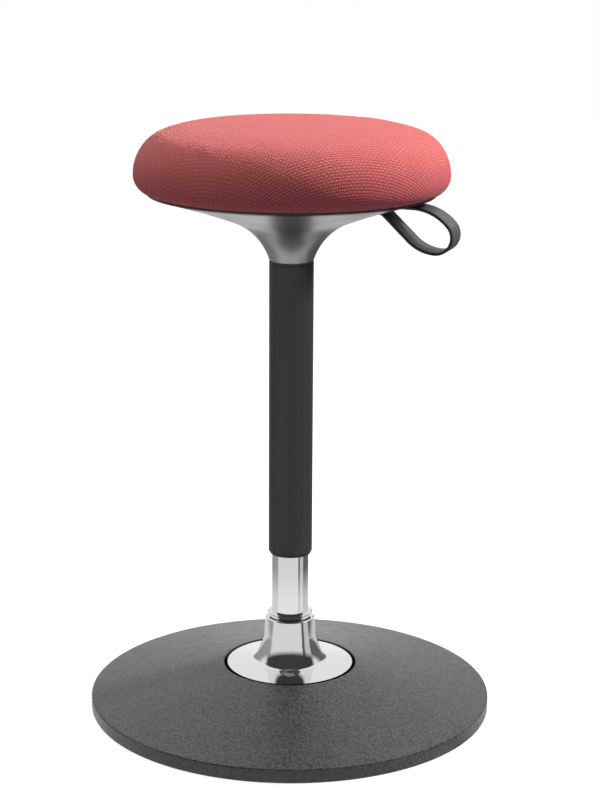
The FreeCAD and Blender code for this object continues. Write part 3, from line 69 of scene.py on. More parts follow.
# How the cloth swells, and how much of that the cushion keeps.
SWELL_PRESSURE = 4.0
SWELL_SIDES = 200
SWELL_STEPS = 20
SWELL_INSET = 0.0015
SWELL_CAP = 0.003
SWELL_SHARE = 0.35
SWELL_LIMIT = 0.0007
SWELL_LIFT = 0.0045
CUSHION_SIDES = 360
CUSHION_RINGS = 110
HEM_CALM = 0.02

# Knit, in metres and degrees on the flat cloth: ribs, rows, and what pulls them out of line.
WALE_PITCH = 0.00271
WALE_ANGLE = 17.4
COURSE_PITCH = 0.00309
COURSE_ANGLE = -68.2
DRIFT_SIZE = 0.012
DRIFT = 0.0022
# Painted shade: over these distances from the cloth's lower edge, measured along the cloth, the side wall
# turns darker and more crimson.
WALL_SHADE = (0.05, 0.02)
# Painted highlight: within these distances of the cloth's lower edge it turns a lighter pink.
HEM_HIGHLIGHT = (0.0028, 0.0012)

# Board, column and pan, in metres.
PLY = 0.0024
FUNNEL_LOW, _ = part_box("funnel")
GAP_SHADOW = 0.0022
LIP_HEIGHT = 0.0046

# Strap, in metres and degrees. Its top comes from the frame.
_, STRAP_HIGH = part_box("pull_loop")
STRAP_WIDTH = 0.034
STRAP_WALL = 0.0032
STRAP_TURN = 20.0
STRAP_START = 0.084
STRAP_STRAIGHT = 0.1433
TOP_CURVE = 0.0543
TOP_ANGLE = 47.5
END_CURVE = 0.0183
END_ANGLE = 182.9
LOW_STRAND_CURVE = 0.0462
LOW_STRAND_ANGLE = 223.3
TAIL_CURVE = 0.010
LEVER_WALL = 0.004
STRAP_EDGE_ROUND = 0.0011
STRAP_LINE_INSET = 0.003

# Camera, from the circles of the seat and the base in the photograph.
CAMERA_DISTANCE = 2.2302
CAMERA_HEIGHT = 0.9283
CAMERA_PITCH = 14.188
CAMERA_ROLL = 0.00427
FOCAL_PIXELS = 2028
PICTURE_HEIGHT = 800
CENTRE_SHIFT = 9.07
SENSOR = 36.0

# Studio: how bright the walls and the floor look in chrome, by degrees from the camera's side.
PANELS = ((-180, 1.0), (-170, 1.0), (-160, 0.3), (-84, 0.36), (-78, 0.78), (50, 0.78), (54, 0.1),
          (60, 0.1), (66, 0.6), (84, 0.6), (92, 0.12), (162, 0.16), (172, 1.0), (180, 1.0))
AMBIENT_LOW = 0.09
AMBIENT_HIGH = 0.5
FLOOR_BOUNCE = 0.25
FLOOR_SIZE = 30.0
NEAR_FLOOR = (0.38, 0.5)
NEAR_WHITE = 0.6


def colour(red, green, blue):
    """A colour written as it looks on a screen, 0 to 255, as linear light."""
    linear = []
    for part in (red, green, blue):
        share = part / 255
        linear.append(share / 12.92 if share <= 0.04045 else ((share + 0.055) / 1.055) ** 2.4)
    return (*linear, 1.0)


def add(tree, kind, inputs=(), **settings):
    """Adds a shader node. Inputs are values, or outputs of other nodes to link."""
    node = tree.nodes.new("ShaderNode" + kind)
    for name, value in settings.items():
        setattr(node, name, value)
    for name, value in dict(inputs).items():
        if isinstance(value, bpy.types.NodeSocket):
            tree.links.new(value, node.inputs[name])
        else:
            node.inputs[name].default_value = value
    return node


def maths(tree, operation, *values):
    """One sum of numbers or sockets."""
    return add(tree, "Math", dict(enumerate(values)), operation=operation).outputs[0]


def mixed(tree, share, first, second):
    """A colour between two, by a share."""
    node = add(tree, "Mix", {0: share, 6: first, 7: second}, data_type="RGBA")
    return node.outputs[2]


def ramp(tree, value, low, high, out_low=0.0, out_high=1.0):
    """Maps a value's range to another one, clamped."""
    node = add(tree, "MapRange", {0: value, 1: low, 2: high, 3: out_low, 4: out_high})
    return node.outputs[0]


def place_of(tree, stretch=(1, 1, 1)):
    """The point on the piece, in the piece's own metres, stretched for grain that runs one way."""
    point = add(tree, "TexCoord").outputs["Object"]
    if stretch == (1, 1, 1):
        return point
    return add(tree, "Mapping", {"Vector": point, "Scale": stretch}).outputs[0]


def noise(tree, point, size, detail=2.0, roughness=0.5):
    """Cloudy noise whose spots are about as wide as size."""
    node = add(tree, "TexNoise", {"Vector": point, "Scale": 1 / size, "Detail": detail,
                                  "Roughness": roughness})
    return node.outputs[0]


def bump(tree, shader, height, depth):
    """Raises the surface by up to depth, where height is 1."""
    normal = add(tree, "Bump", {"Height": height, "Distance": depth, "Strength": 1.0}).outputs[0]
    tree.links.new(normal, shader.inputs["Normal"])


def height_on(tree, name, height):
    """How far a point of a piece is above a height in the frame at rest."""
    own = (nodes[name].matrix_world.inverted() @ Vector((0, 0, height))).z
    point = add(tree, "SeparateXYZ", {0: place_of(tree)})
    return maths(tree, "SUBTRACT", point.outputs[2], own)


def new_finish(name, **sockets):
    """A material with one Principled shader whose steady values are set on its own sockets."""
    material = bpy.data.materials.new(name)
    material.use_nodes = True
    tree = material.node_tree
    tree.nodes.clear()
    shader = add(tree, "BsdfPrincipled")
    for socket, value in sockets.items():
        shader.inputs[socket.replace("_", " ")].default_value = value
    add(tree, "OutputMaterial", {"Surface": shader.outputs[0]})
    return material, tree, shader


def tint(tree, shader, value, dark, light):
    """Colour between two shades by a value from 0 to 1."""
    tree.links.new(mixed(tree, value, dark, light), shader.inputs["Base Color"])


def paint_finish():
    """Dark grey powder coat: pebbled grain with a soft gloss."""
    material, tree, shader = new_finish("base_paint", Roughness=0.32, Specular_IOR_Level=0.6)
    point = place_of(tree)
    fine = noise(tree, point, 0.0027, 2.0, 0.7)
    coarse = noise(tree, point, 0.012, 2.0)
    grain = ramp(tree, fine, 0.36, 0.64)
    tint(tree, shader, grain, colour(24, 24, 25), colour(74, 74, 76))
    tree.links.new(ramp(tree, coarse, 0.3, 0.7, 0.28, 0.36), shader.inputs["Roughness"])
    bump(tree, shader, grain, 0.00016)
    return material


def chrome_finish():
    """Bright chrome, with the faint waviness of polished tube."""
    material, tree, shader = new_finish("chrome", Metallic=1.0, Roughness=0.045)
    point = place_of(tree, (1, 1, 0.2))
    wave = noise(tree, point, 0.02, 2.0)
    haze = noise(tree, place_of(tree), 0.003, 3.0)
    tint(tree, shader, haze, colour(226, 227, 229), colour(238, 239, 240))
    tree.links.new(ramp(tree, haze, 0.3, 0.8, 0.03, 0.09), shader.inputs["Roughness"])
    bump(tree, shader, wave, 0.00002)
    return material


def steel_finish(name, shade, rough, grain_along=(1, 1, 1), grain=0.0004):
    """Machined, zinced or drawn steel, with grain along one direction."""
    material, tree, shader = new_finish(name, Metallic=1.0, Roughness=rough)
    point = place_of(tree, grain_along)
    lines = noise(tree, point, grain, 2.0)
    spots = noise(tree, place_of(tree), 0.006, 3.0)
    dark = colour(*(part * 0.86 for part in shade))
    tint(tree, shader, maths(tree, "MULTIPLY", lines, spots), dark, colour(*shade))
    tree.links.new(ramp(tree, lines, 0.2, 0.8, rough * 0.8, rough * 1.25), shader.inputs["Roughness"])
    bump(tree, shader, lines, 0.00002)
    return material


def black_tube_finish():
    """Satin black lacquer with a light orange peel, and painted shadow in the gap under the funnel's edge.
    """
    material, tree, shader = new_finish("black_tube", Roughness=0.42, Specular_IOR_Level=0.5)
    point = place_of(tree)
    peel = noise(tree, point, 0.0022, 2.0)
    dust = noise(tree, point, 0.0008, 2.0)
    down = maths(tree, "ABSOLUTE", maths(tree, "ADD", height_on(tree, "outer_tube", FUNNEL_LOW.z),
                                         GAP_SHADOW / 2))
    # Painted shadow: a thin band of the tube just under the funnel's edge turns near black.
    gap = ramp(tree, down, GAP_SHADOW * 0.4, GAP_SHADOW * 0.7, 1.0, 0.0)
    lacquer = mixed(tree, dust, colour(42, 42, 43), colour(58, 58, 60))
    tree.links.new(mixed(tree, gap, lacquer, colour(6, 6, 6)), shader.inputs["Base Color"])
    tree.links.new(ramp(tree, peel, 0.3, 0.7, 0.38, 0.46), shader.inputs["Roughness"])
    bump(tree, shader, peel, 0.00003)
    return material


def moulded_finish(name, shade, rough, grain=0.0006, depth=0.00003):
    """Moulded plastic or rubber with a fine spark-eroded grain."""
    material, tree, shader = new_finish(name, Roughness=rough)
    point = place_of(tree)
    fine = noise(tree, point, grain, 3.0, 0.6)
    cloud = noise(tree, point, 0.02, 2.0)
    dark = colour(*(part * 0.85 for part in shade))
    tint(tree, shader, cloud, dark, colour(*shade))
    tree.links.new(ramp(tree, fine, 0.3, 0.7, rough * 0.9, rough * 1.1), shader.inputs["Roughness"])
    bump(tree, shader, fine, depth)
    return material


def funnel_finish(name="funnel_grey", lip=None):
    """Satin grey lacquer on the funnel and the pan's skirt; the pan's lip above it is black."""
    material, tree, shader = new_finish(name, Roughness=0.34, Metallic=0.85)
    point = place_of(tree)
    fine = noise(tree, point, 0.0012, 3.0, 0.6)
    cloud = noise(tree, point, 0.03, 2.0)
    lacquer = mixed(tree, fine, colour(158, 158, 159), colour(182, 182, 183))
    if lip is not None:
        black = ramp(tree, height_on(tree, "seat_pan", lip), -0.0003, 0.0003)
        lacquer = mixed(tree, black, lacquer, colour(14, 14, 15))
        tree.links.new(ramp(tree, black, 0.0, 1.0, 0.85, 0.0), shader.inputs["Metallic"])
    tree.links.new(lacquer, shader.inputs["Base Color"])
    tree.links.new(ramp(tree, cloud, 0.3, 0.7, 0.3, 0.38), shader.inputs["Roughness"])
    bump(tree, shader, fine, 0.00005)
    return material


def wood_finish():
    """Birch plywood: grain across the faces, plies at the edge."""
    material, tree, shader = new_finish("board_wood", Roughness=0.6)
    ply = maths(tree, "SINE", maths(tree, "MULTIPLY", add(
        tree, "SeparateXYZ", {0: place_of(tree)}).outputs[2], 2 * math.pi / PLY))
    grain = noise(tree, place_of(tree, (1, 0.06, 1)), 0.002, 4.0, 0.6)
    streaks = maths(tree, "MULTIPLY", grain, ramp(tree, ply, -1.0, 1.0, 0.7, 1.0))
    tint(tree, shader, streaks, colour(150, 112, 72), colour(214, 184, 140))
    bump(tree, shader, grain, 0.00005)
    return material


def fabric_finish():
    """Coral upholstery: a dense knit whose rows and ribs follow the flat cloth over the cushion."""
    material, tree, shader = new_finish("cover_fabric", Roughness=0.8, Sheen_Weight=0.25,
                                        Sheen_Roughness=0.5)
    shader.inputs["Sheen Tint"].default_value = colour(255, 176, 168)
    reach = float(travelled_along(np.array(cushion_outline(0.0)))[-1])
    laid = add(tree, "Attribute", attribute_name="weave").outputs["Vector"]
    away = add(tree, "VectorMath", {0: laid}, operation="LENGTH").outputs["Value"]
    pull = add(tree, "TexNoise", {"Vector": laid, "Scale": 1 / DRIFT_SIZE, "Detail": 2.0}).outputs["Color"]
    drift = add(tree, "VectorMath", {0: pull, "Scale": DRIFT}, operation="SCALE").outputs[0]
    cloth = add(tree, "VectorMath", {0: laid, 1: drift}, operation="ADD").outputs[0]

    def turns(pitch, angle):
        """Half turns of a wave across the cloth with a pitch and a direction."""
        heading = (math.cos(math.radians(angle)) * math.pi / pitch,
                   math.sin(math.radians(angle)) * math.pi / pitch, 0)
        return add(tree, "VectorMath", {0: cloth, 1: heading}, operation="DOT_PRODUCT").outputs["Value"]

    wale = turns(WALE_PITCH, WALE_ANGLE)
    course = turns(COURSE_PITCH, COURSE_ANGLE)
    ribs = maths(tree, "COSINE", maths(tree, "MULTIPLY", wale, 2.0))
    rows = maths(tree, "COSINE", maths(tree, "MULTIPLY", course, 2.0))
    stagger = maths(tree, "MULTIPLY", maths(tree, "COSINE", wale), maths(tree, "COSINE", course))
    patchy = noise(tree, cloth, 0.006, 2.0)
    fuzz = noise(tree, cloth, 0.0012, 3.0, 0.65)
    cloud = noise(tree, cloth, 0.03, 2.0)
    loops = maths(tree, "ADD", maths(tree, "MULTIPLY", ribs, ramp(tree, patchy, 0.35, 0.65, 0.08, 0.2)),
                  maths(tree, "MULTIPLY", rows, ramp(tree, patchy, 0.35, 0.65, 0.34, 0.18)))
    loops = maths(tree, "ADD", loops, maths(tree, "MULTIPLY", stagger, 0.2))
    loops = maths(tree, "ADD", loops, maths(tree, "MULTIPLY", fuzz, 1.1))
    height = ramp(tree, loops, -0.05, 1.1)
    # Painted shade on the side wall: near the lower edge the knit's colours turn darker and more crimson.
    wall = ramp(tree, away, reach - WALL_SHADE[0], reach - WALL_SHADE[1])
    low = mixed(tree, wall, mixed(tree, cloud, colour(124, 46, 52), colour(132, 50, 56)),
                colour(84, 24, 42))
    high = mixed(tree, wall, mixed(tree, cloud, colour(228, 118, 115), colour(234, 124, 120)),
                 colour(222, 100, 108))
    # Painted shade: the knit's low loops take the much darker low colour and its raised loops the light
    # one; the same height drives the bump.
    knit_with_painted_shade = mixed(tree, height, low, high)
    # Painted highlight: a lighter pink band along the cloth's lower edge.
    hem = ramp(tree, away, reach - HEM_HIGHLIGHT[0], reach - HEM_HIGHLIGHT[1])
    tree.links.new(mixed(tree, hem, knit_with_painted_shade, colour(226, 96, 124)), shader.inputs["Base Color"])
    bump(tree, shader, height, 0.0005)
    return material


def strap_finish():
    """Grey strap: grain along its length, dark edges and a pressed line beside each edge."""
    material, tree, shader = new_finish("strap_grey", Roughness=0.46)
    run = add(tree, "Attribute", attribute_name="strap").outputs["Vector"]
    parts = add(tree, "SeparateXYZ", {0: run})
    long_grain = add(tree, "Mapping", {"Vector": run, "Scale": (0.06, 1, 1)}).outputs[0]
    grain = noise(tree, long_grain, 0.0009, 3.0, 0.6)
    pores = noise(tree, run, 0.0014, 3.0)
    across = maths(tree, "ABSOLUTE", parts.outputs[1])
    beside = maths(tree, "ABSOLUTE", maths(tree, "SUBTRACT", across, STRAP_WIDTH / 2 - STRAP_LINE_INSET))
    line = ramp(tree, beside, 0.0003, 0.0008, 1.0, 0.0)
    face = mixed(tree, grain, colour(52, 52, 54), colour(92, 92, 95))
    face = mixed(tree, line, face, colour(34, 34, 35))
    edge = ramp(tree, parts.outputs[2], 0.4, 0.6)
    tree.links.new(mixed(tree, edge, face, colour(15, 15, 16)), shader.inputs["Base Color"])
    height = maths(tree, "ADD", grain, maths(tree, "MULTIPLY", pores, 0.5))
    height = maths(tree, "SUBTRACT", height, maths(tree, "MULTIPLY", line, 1.5))
    bump(tree, shader, height, 0.00015)
    return material


FINISHES = {
    paint_finish(): ("base_plate",),
    chrome_finish(): ("inner_tube", "bell_cover", "collar_ring"),
    black_tube_finish(): ("outer_tube", "gas_cylinder"),
    funnel_finish(): ("funnel",),
    wood_finish(): ("seat_board",),
    moulded_finish("floor_rubber", (28, 28, 29), 0.8): ("floor_ring",),
    moulded_finish("buffer_rubber", (26, 26, 27), 0.65):
        ("buffer_ring", "bump_stop", "piston_seal", "collar_gasket"),
    moulded_finish("black_plastic", (32, 32, 34), 0.5): ("tube_bush", "rod_guide"),
    funnel_finish("pan_grey", CUSHION_HEM - LIP_HEIGHT): ("seat_pan",),
    moulded_finish("liner_plastic", (222, 220, 212), 0.45):
        ("socket_liner", "cylinder_guide", "tube_glide", "bearing_cage"),
    moulded_finish("foam", (226, 214, 176), 0.9, 0.002, 0.0006): ("seat_foam",),
    steel_finish("cover_sheet", (122, 124, 126), 0.4, (1, 0.1, 1)): ("bottom_cover",),
    steel_finish("zinc_screws", (196, 198, 200), 0.32):
        ("cover_screws", "cup_screws", "bracket_bolts", "board_nuts", "pan_screws", "loop_rivets"),
    steel_finish("joint_steel", (150, 151, 153), 0.28, (1, 1, 0.1)):
        ("joint_cup", "cup_ring", "tilt_hub", "rod_plate", "piston", "lower_washer", "upper_washer",
         "rod_clip", "bearing_balls"),
    steel_finish("rod_chrome", (222, 223, 225), 0.12, (1, 1, 0.1)): ("piston_rod", "pivot_pin"),
    steel_finish("valve_steel", (160, 160, 160), 0.3): ("valve_pin",),
    steel_finish("bracket_steel", (92, 93, 96), 0.4, (1, 0.2, 1)):
        ("seat_bracket", "release_lever", "loop_plate"),
}


def dress_nodes():
    """Gives each piece of the frame its finish."""
    for material, names in FINISHES.items():
        for name in names:
            mesh = nodes[name].data
            mesh.materials.clear()
            mesh.materials.append(material)


def arc(start, end, radius, steps, centre_side=1):
    """Points on an arc after start up to end. Its centre is left of the way from start to end."""
    start = Vector(start)
    end = Vector(end)
    across = end - start
    reach = math.sqrt(max(radius ** 2 - (across.length / 2) ** 2, 0.0))
    normal = Vector((-across.y, across.x)).normalized() * centre_side
    centre = (start + end) / 2 + normal * reach
    first = math.atan2(start.y - centre.y, start.x - centre.x)
    last = math.atan2(end.y - centre.y, end.x - centre.x)
    turn = (last - first + math.pi) % (2 * math.pi) - math.pi
    points = []
    for step in range(1, steps + 1):
        angle = first + turn * step / steps
        points.append((centre.x + radius * math.cos(angle), centre.y + radius * math.sin(angle)))
    return points


def turned(name, outline, sides, closed=False):
    """A mesh turned round the Z axis from (radius, height) points. Points on the axis become one."""
    vertices = []
    rings = []
    for radius, height in outline:
        if radius < 1e-6:
            rings.append([len(vertices)])
            vertices.append((0.0, 0.0, height))
            continue
        rings.append(list(range(len(vertices), len(vertices) + sides)))
        for side in range(sides):
            angle = 2 * math.pi * side / sides
            vertices.append((radius * math.cos(angle), radius * math.sin(angle), height))
    faces = []
    pairs = list(zip(rings, rings[1:] + rings[:1])) if closed else list(zip(rings, rings[1:]))
    for low, high in pairs:
        for side in range(sides):
            after = (side + 1) % sides
            corners = [low[side % len(low)], low[after % len(low)],
                       high[after % len(high)], high[side % len(high)]]
            faces.append(list(dict.fromkeys(corners)))
    mesh = bpy.data.meshes.new(name)
    mesh.from_pydata(vertices, [], faces)
    mesh.validate()
    mesh.shade_smooth()
    piece = bpy.data.objects.new(name, mesh)
    scene.collection.objects.link(piece)
    return piece


def cushion_outline(inset):
    """The cushion from its lower edge to the middle of the crown, drawn in by an inset."""
    widest = CUSHION_HEM + WIDEST_RISE
    middle = CUSHION_RADIUS - LOW_CURVE
    low = (middle + math.sqrt(max(0.0, (LOW_CURVE - inset) ** 2 - WIDEST_RISE ** 2)), CUSHION_HEM)
    reach = SIDE_RADIUS - CUSHION_RADIUS + SIDE_CURVE
    share = reach / SIDE_CURVE
    side_up = widest + math.sqrt(SIDE_CURVE ** 2 - reach ** 2)
    edge_up = side_up + EDGE_RISE
    crown = (EDGE_RADIUS ** 2 + CROWN_RISE ** 2) / (2 * CROWN_RISE)
    wide = (CUSHION_RADIUS - inset, widest)
    side = (SIDE_RADIUS - inset * share, side_up - inset * math.sqrt(1 - share ** 2))
    edge = (EDGE_RADIUS, edge_up - inset)
    points = [low]
    points += arc(low, wide, LOW_CURVE - inset, 8)
    points += arc(wide, side, SIDE_CURVE - inset, 14)
    points += arc(side, edge, EDGE_CURVE - inset, 10)
    points += arc(edge, (0.0, edge_up + CROWN_RISE - inset), crown - inset, 12)
    return points


def cushion_body(inset):
    """The closed form that is blown up: cushion outline, with the hollow that the board fills."""
    shelf = BOARD_HIGH.z + BOARD_GAP
    wall = BOARD_HIGH.x + BOARD_GAP
    inside = [(0.0, shelf), (wall / 2, shelf), (wall, shelf), (wall, CUSHION_HEM)]
    return turned("cushion_blank", inside + cushion_outline(inset), SWELL_SIDES), len(inside)


def blow_up(inset):
    """Lets the cushion's cloth swell under pressure. Gives how unevenly each ring of it ends up."""
    piece, inside = cushion_body(inset)
    rings = len(cushion_outline(inset)) - 1
    first = 1 + (inside - 1) * SWELL_SIDES
    last = first + rings * SWELL_SIDES
    points = np.empty(len(piece.data.vertices) * 3, np.float32)
    piece.data.vertices.foreach_get("co", points)
    points = points.reshape(-1, 3)
    for index in range(first, last):
        lump = noise_at(Vector(points[index]) / LUMP_SIZE) * LUMP_RISE
        points[index] *= 1 + lump / float(np.linalg.norm(points[index]))
    piece.data.vertices.foreach_set("co", points.ravel())
    piece.data.update()
    held = piece.vertex_groups.new(name="held")
    held.add(list(range(first + SWELL_SIDES)), 1.0, "REPLACE")
    cloth = piece.modifiers.new("swell", "CLOTH")
    cloth.settings.quality = 5
    cloth.settings.mass = 0.3
    cloth.settings.tension_stiffness = 40
    cloth.settings.compression_stiffness = 40
    cloth.settings.bending_stiffness = 2
    cloth.settings.use_pressure = True
    cloth.settings.uniform_pressure_force = SWELL_PRESSURE
    cloth.settings.vertex_group_mass = "held"
    cloth.settings.effector_weights.gravity = 0
    for step in range(1, SWELL_STEPS + 1):
        scene.frame_set(step)
    graph = bpy.context.evaluated_depsgraph_get()
    swollen = np.empty(len(points) * 3, np.float32)
    piece.evaluated_get(graph).to_mesh().vertices.foreach_get("co", swollen)
    scene.frame_set(1)
    piece.modifiers.clear()
    bpy.data.objects.remove(piece)
    move = np.linalg.norm(swollen.reshape(-1, 3) - points, axis=1)[first:last]
    move = np.minimum(move, SWELL_CAP).reshape(rings, SWELL_SIDES)
    rise = np.linalg.norm(points[first:last], axis=1).reshape(rings, SWELL_SIDES)
    rise = rise - rise.mean(axis=1, keepdims=True)
    uneven = rise + move - move.mean(axis=1, keepdims=True)
    return np.clip(uneven * SWELL_SHARE, -SWELL_LIMIT, SWELL_LIMIT)


def outline_normals(outline):
    """Outward direction at each point of an outline that runs from the hem to the crown."""
    along = np.gradient(outline, axis=0)
    normals = np.stack([along[:, 1], -along[:, 0]], axis=1)
    return normals / np.linalg.norm(normals, axis=1, keepdims=True)


def travelled_along(outline):
    """How far each point of an outline is from its first point."""
    steps = np.linalg.norm(np.diff(outline, axis=0), axis=1)
    return np.concatenate([[0.0], np.cumsum(steps)])


def cushion_surface(unevenness):
    """Fine rings on the cushion's outline, lifted to the photo's crown, uneven as the cloth is.

    Gives the points, and where each lies on the flat cloth.
    """
    outline = np.array(cushion_outline(0.0))
    way = travelled_along(outline)
    normals = outline_normals(outline)
    fine = np.linspace(0.0, way[-1], CUSHION_RINGS)[:-1]
    angles = np.arange(CUSHION_SIDES) * 2 * math.pi / CUSHION_SIDES
    radius, height, out, up = (np.interp(fine, way, values)[:, None] for values in (
        outline[:, 0], outline[:, 1], normals[:, 0], normals[:, 1]))
    uneven = np.zeros((len(fine), CUSHION_SIDES))
    if unevenness is not None:
        coarse_way = way[:-1]
        coarse_angles = np.arange(SWELL_SIDES + 1) * 2 * math.pi / SWELL_SIDES
        closed = np.concatenate([unevenness, unevenness[:, :1]], axis=1)
        turned_rows = np.array([np.interp(angles, coarse_angles, row) for row in closed])
        uneven = np.array([np.interp(fine, coarse_way, column) for column in turned_rows.T]).T
        uneven *= np.clip(fine / HEM_CALM, 0.0, 1.0)[:, None]
    widest = CUSHION_HEM + WIDEST_RISE
    lift = np.clip((height - widest) / (CUSHION_TOP - widest), 0.0, 1.0) * SWELL_LIFT
    radius = radius + out * uneven
    height = height + up * uneven + lift
    flat = (way[-1] - fine)[:, None] * np.ones((1, CUSHION_SIDES))
    points = np.stack([radius * np.cos(angles), radius * np.sin(angles), height + 0 * angles], axis=2)
    cloth = np.stack([flat * np.cos(angles), flat * np.sin(angles), 0 * flat], axis=2)
    return points.reshape(-1, 3), cloth.reshape(-1, 3)


def make_cushion(fabric):
    """The upholstered cushion: cloth swollen over the foam, closed underneath over the board."""
    unevenness = blow_up(SWELL_INSET)
    points, cloth = cushion_surface(unevenness)
    shelf = BOARD_HIGH.z + BOARD_GAP
    wall = BOARD_HIGH.x + BOARD_GAP
    rings = len(points) // CUSHION_SIDES
    angles = np.arange(CUSHION_SIDES) * 2 * math.pi / CUSHION_SIDES
    under = []
    for radius, height in ((wall, CUSHION_HEM), (wall, shelf), (wall / 2, shelf)):
        under.append(np.stack([radius * np.cos(angles), radius * np.sin(angles),
                               np.full(CUSHION_SIDES, height)], axis=1))
    top = np.array([[0.0, 0.0, CUSHION_TOP + SWELL_LIFT]])
    bottom = np.array([[0.0, 0.0, shelf]])
    vertices = np.concatenate([points, *under, top, bottom])
    laid = np.concatenate([cloth, *under, 0 * top, bottom])
    crown = len(vertices) - 2
    floor = len(vertices) - 1
    order = list(range(rings - 1, -1, -1)) + [rings, rings + 1, rings + 2]
    faces = []
    for side in range(CUSHION_SIDES):
        after = (side + 1) % CUSHION_SIDES
        faces.append((crown, order[0] * CUSHION_SIDES + side, order[0] * CUSHION_SIDES + after))
        for high, low in zip(order, order[1:]):
            faces.append((high * CUSHION_SIDES + side, low * CUSHION_SIDES + side,
                          low * CUSHION_SIDES + after, high * CUSHION_SIDES + after))
        faces.append((order[-1] * CUSHION_SIDES + after, order[-1] * CUSHION_SIDES + side, floor))
    mesh = bpy.data.meshes.new("cushion")
    mesh.from_pydata(vertices.tolist(), [], faces)
    mesh.validate()
    weave = mesh.attributes.new("weave", "FLOAT_VECTOR", "POINT")
    weave.data.foreach_set("vector", laid.astype(np.float32).ravel())
    mesh.materials.append(fabric)
    mesh.shade_smooth()
    piece = bpy.data.objects.new("cushion", mesh)
    scene.collection.objects.link(piece)
    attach(piece, "seat")
    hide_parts("seat_foam", "seat_cover")


def make_hem(fabric):
    """The fabric turned in under the board, round the hem cord."""
    hem = [(HEM_INNER, CUSHION_HEM), (BOARD_HIGH.x + FABRIC_WALL, CUSHION_HEM),
           (BOARD_HIGH.x + FABRIC_WALL, CUSHION_HEM + FABRIC_WALL * 0.9),
           (HEM_INNER, CUSHION_HEM + FABRIC_WALL * 0.9)]
    piece = turned("cover_hem", hem, 128, closed=True)
    piece.data.materials.append(fabric)
    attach(piece, "seat")


def strap_middle():
    """Middle line of the strap in its own upright plane: (out, up) and the heading at each point."""
    top = STRAP_HIGH.z - STRAP_WALL / 2
    line = [((STRAP_START + (STRAP_STRAIGHT - STRAP_START) * step / 6, top), 0.0) for step in range(6)]

    def bend(centre, radius, first, last, steps):
        for step in range(steps + 1):
            heading = first + (last - first) * step / steps
            angle = math.radians(heading)
            place = (centre[0] + radius * math.sin(angle), centre[1] + radius * math.cos(angle))
            line.append((place, heading))

    def shifted(place, distance, heading):
        angle = math.radians(heading)
        return (place[0] + distance * math.sin(angle), place[1] + distance * math.cos(angle))

    first = (STRAP_STRAIGHT, top - TOP_CURVE)
    second = shifted(first, TOP_CURVE - END_CURVE, TOP_ANGLE)
    third = shifted(second, END_CURVE - LOW_STRAND_CURVE, END_ANGLE)
    bend(first, TOP_CURVE, 0.0, TOP_ANGLE, 12)
    bend(second, END_CURVE, TOP_ANGLE, END_ANGLE, 24)
    bend(third, LOW_STRAND_CURVE, END_ANGLE, LOW_STRAND_ANGLE, 12)
    low = top - STRAP_WALL - LEVER_WALL
    turn = math.radians(LOW_STRAND_ANGLE)
    leave = shifted(third, LOW_STRAND_CURVE, LOW_STRAND_ANGLE)
    tail_up = low - TAIL_CURVE
    meet_up = tail_up - TAIL_CURVE * math.cos(turn)
    run = (meet_up - leave[1]) / -math.sin(turn)
    meet = (leave[0] + run * math.cos(turn), meet_up)
    tail = (meet[0] + TAIL_CURVE * math.sin(turn), tail_up)
    for step in range(1, 10):
        share = step / 10
        line.append(((leave[0] + (meet[0] - leave[0]) * share,
                      leave[1] + (meet[1] - leave[1]) * share), LOW_STRAND_ANGLE))
    bend(tail, -TAIL_CURVE, LOW_STRAND_ANGLE, 180.0, 8)
    for step in range(1, 5):
        line.append(((tail[0] + (STRAP_START - tail[0]) * step / 4, low), 180.0))
    return line


def strap_section():
    """Outline of the strap's section: (across the width, through the thickness, edge share)."""
    half = STRAP_WIDTH / 2
    wall = STRAP_WALL / 2
    corner = STRAP_EDGE_ROUND
    points = []
    for across, out, start in ((1, 1, 0), (-1, 1, 90), (-1, -1, 180), (1, -1, 270)):
        for step in range(5):
            angle = math.radians(start + 90 * step / 4)
            points.append((across * (half - corner) + corner * math.cos(angle),
                           out * (wall - corner) + corner * math.sin(angle)))
        if start in (0, 180):
            for step in range(1, 12):
                share = 1 - 2 * step / 12
                points.append((share * (half - corner) * across, out * wall))
    return points


def make_strap(finish):
    """The pull loop: a flat strap with rounded edges swept along its middle line."""
    section = strap_section()
    outward = Matrix.Rotation(-math.radians(STRAP_TURN), 3, "Z") @ Vector((1, 0, 0))
    sideways = Matrix.Rotation(-math.radians(STRAP_TURN), 3, "Z") @ Vector((0, 1, 0))
    vertices = []
    runs = []
    travelled = 0.0
    before = None
    for (out, up), heading in strap_middle():
        middle = outward * out + Vector((0, 0, up))
        travelled += 0.0 if before is None else (middle - before).length
        before = middle
        angle = math.radians(heading)
        normal = outward * math.sin(angle) + Vector((0, 0, math.cos(angle)))
        for across, through in section:
            vertices.append(middle + sideways * across + normal * through)
            edge = 1.0 if abs(across) > STRAP_WIDTH / 2 - STRAP_EDGE_ROUND * 0.9 else 0.0
            runs.append((travelled, across, edge))
    count = len(section)
    rings = len(vertices) // count
    faces = []
    for ring in range(rings - 1):
        for index in range(count):
            after = (index + 1) % count
            faces.append((ring * count + index, ring * count + after,
                          (ring + 1) * count + after, (ring + 1) * count + index))
    faces.append(tuple(reversed(range(count))))
    faces.append(tuple(range((rings - 1) * count, rings * count)))
    mesh = bpy.data.meshes.new("pull_strap")
    mesh.from_pydata(vertices, [], faces)
    mesh.validate()
    mesh.shade_smooth()
    where = mesh.attributes.new("strap", "FLOAT_VECTOR", "POINT")
    where.data.foreach_set("vector", [part for run in runs for part in run])
    mesh.materials.append(finish)
    piece = bpy.data.objects.new("pull_strap", mesh)
    scene.collection.objects.link(piece)
    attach(piece, "lever")
    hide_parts("pull_loop")


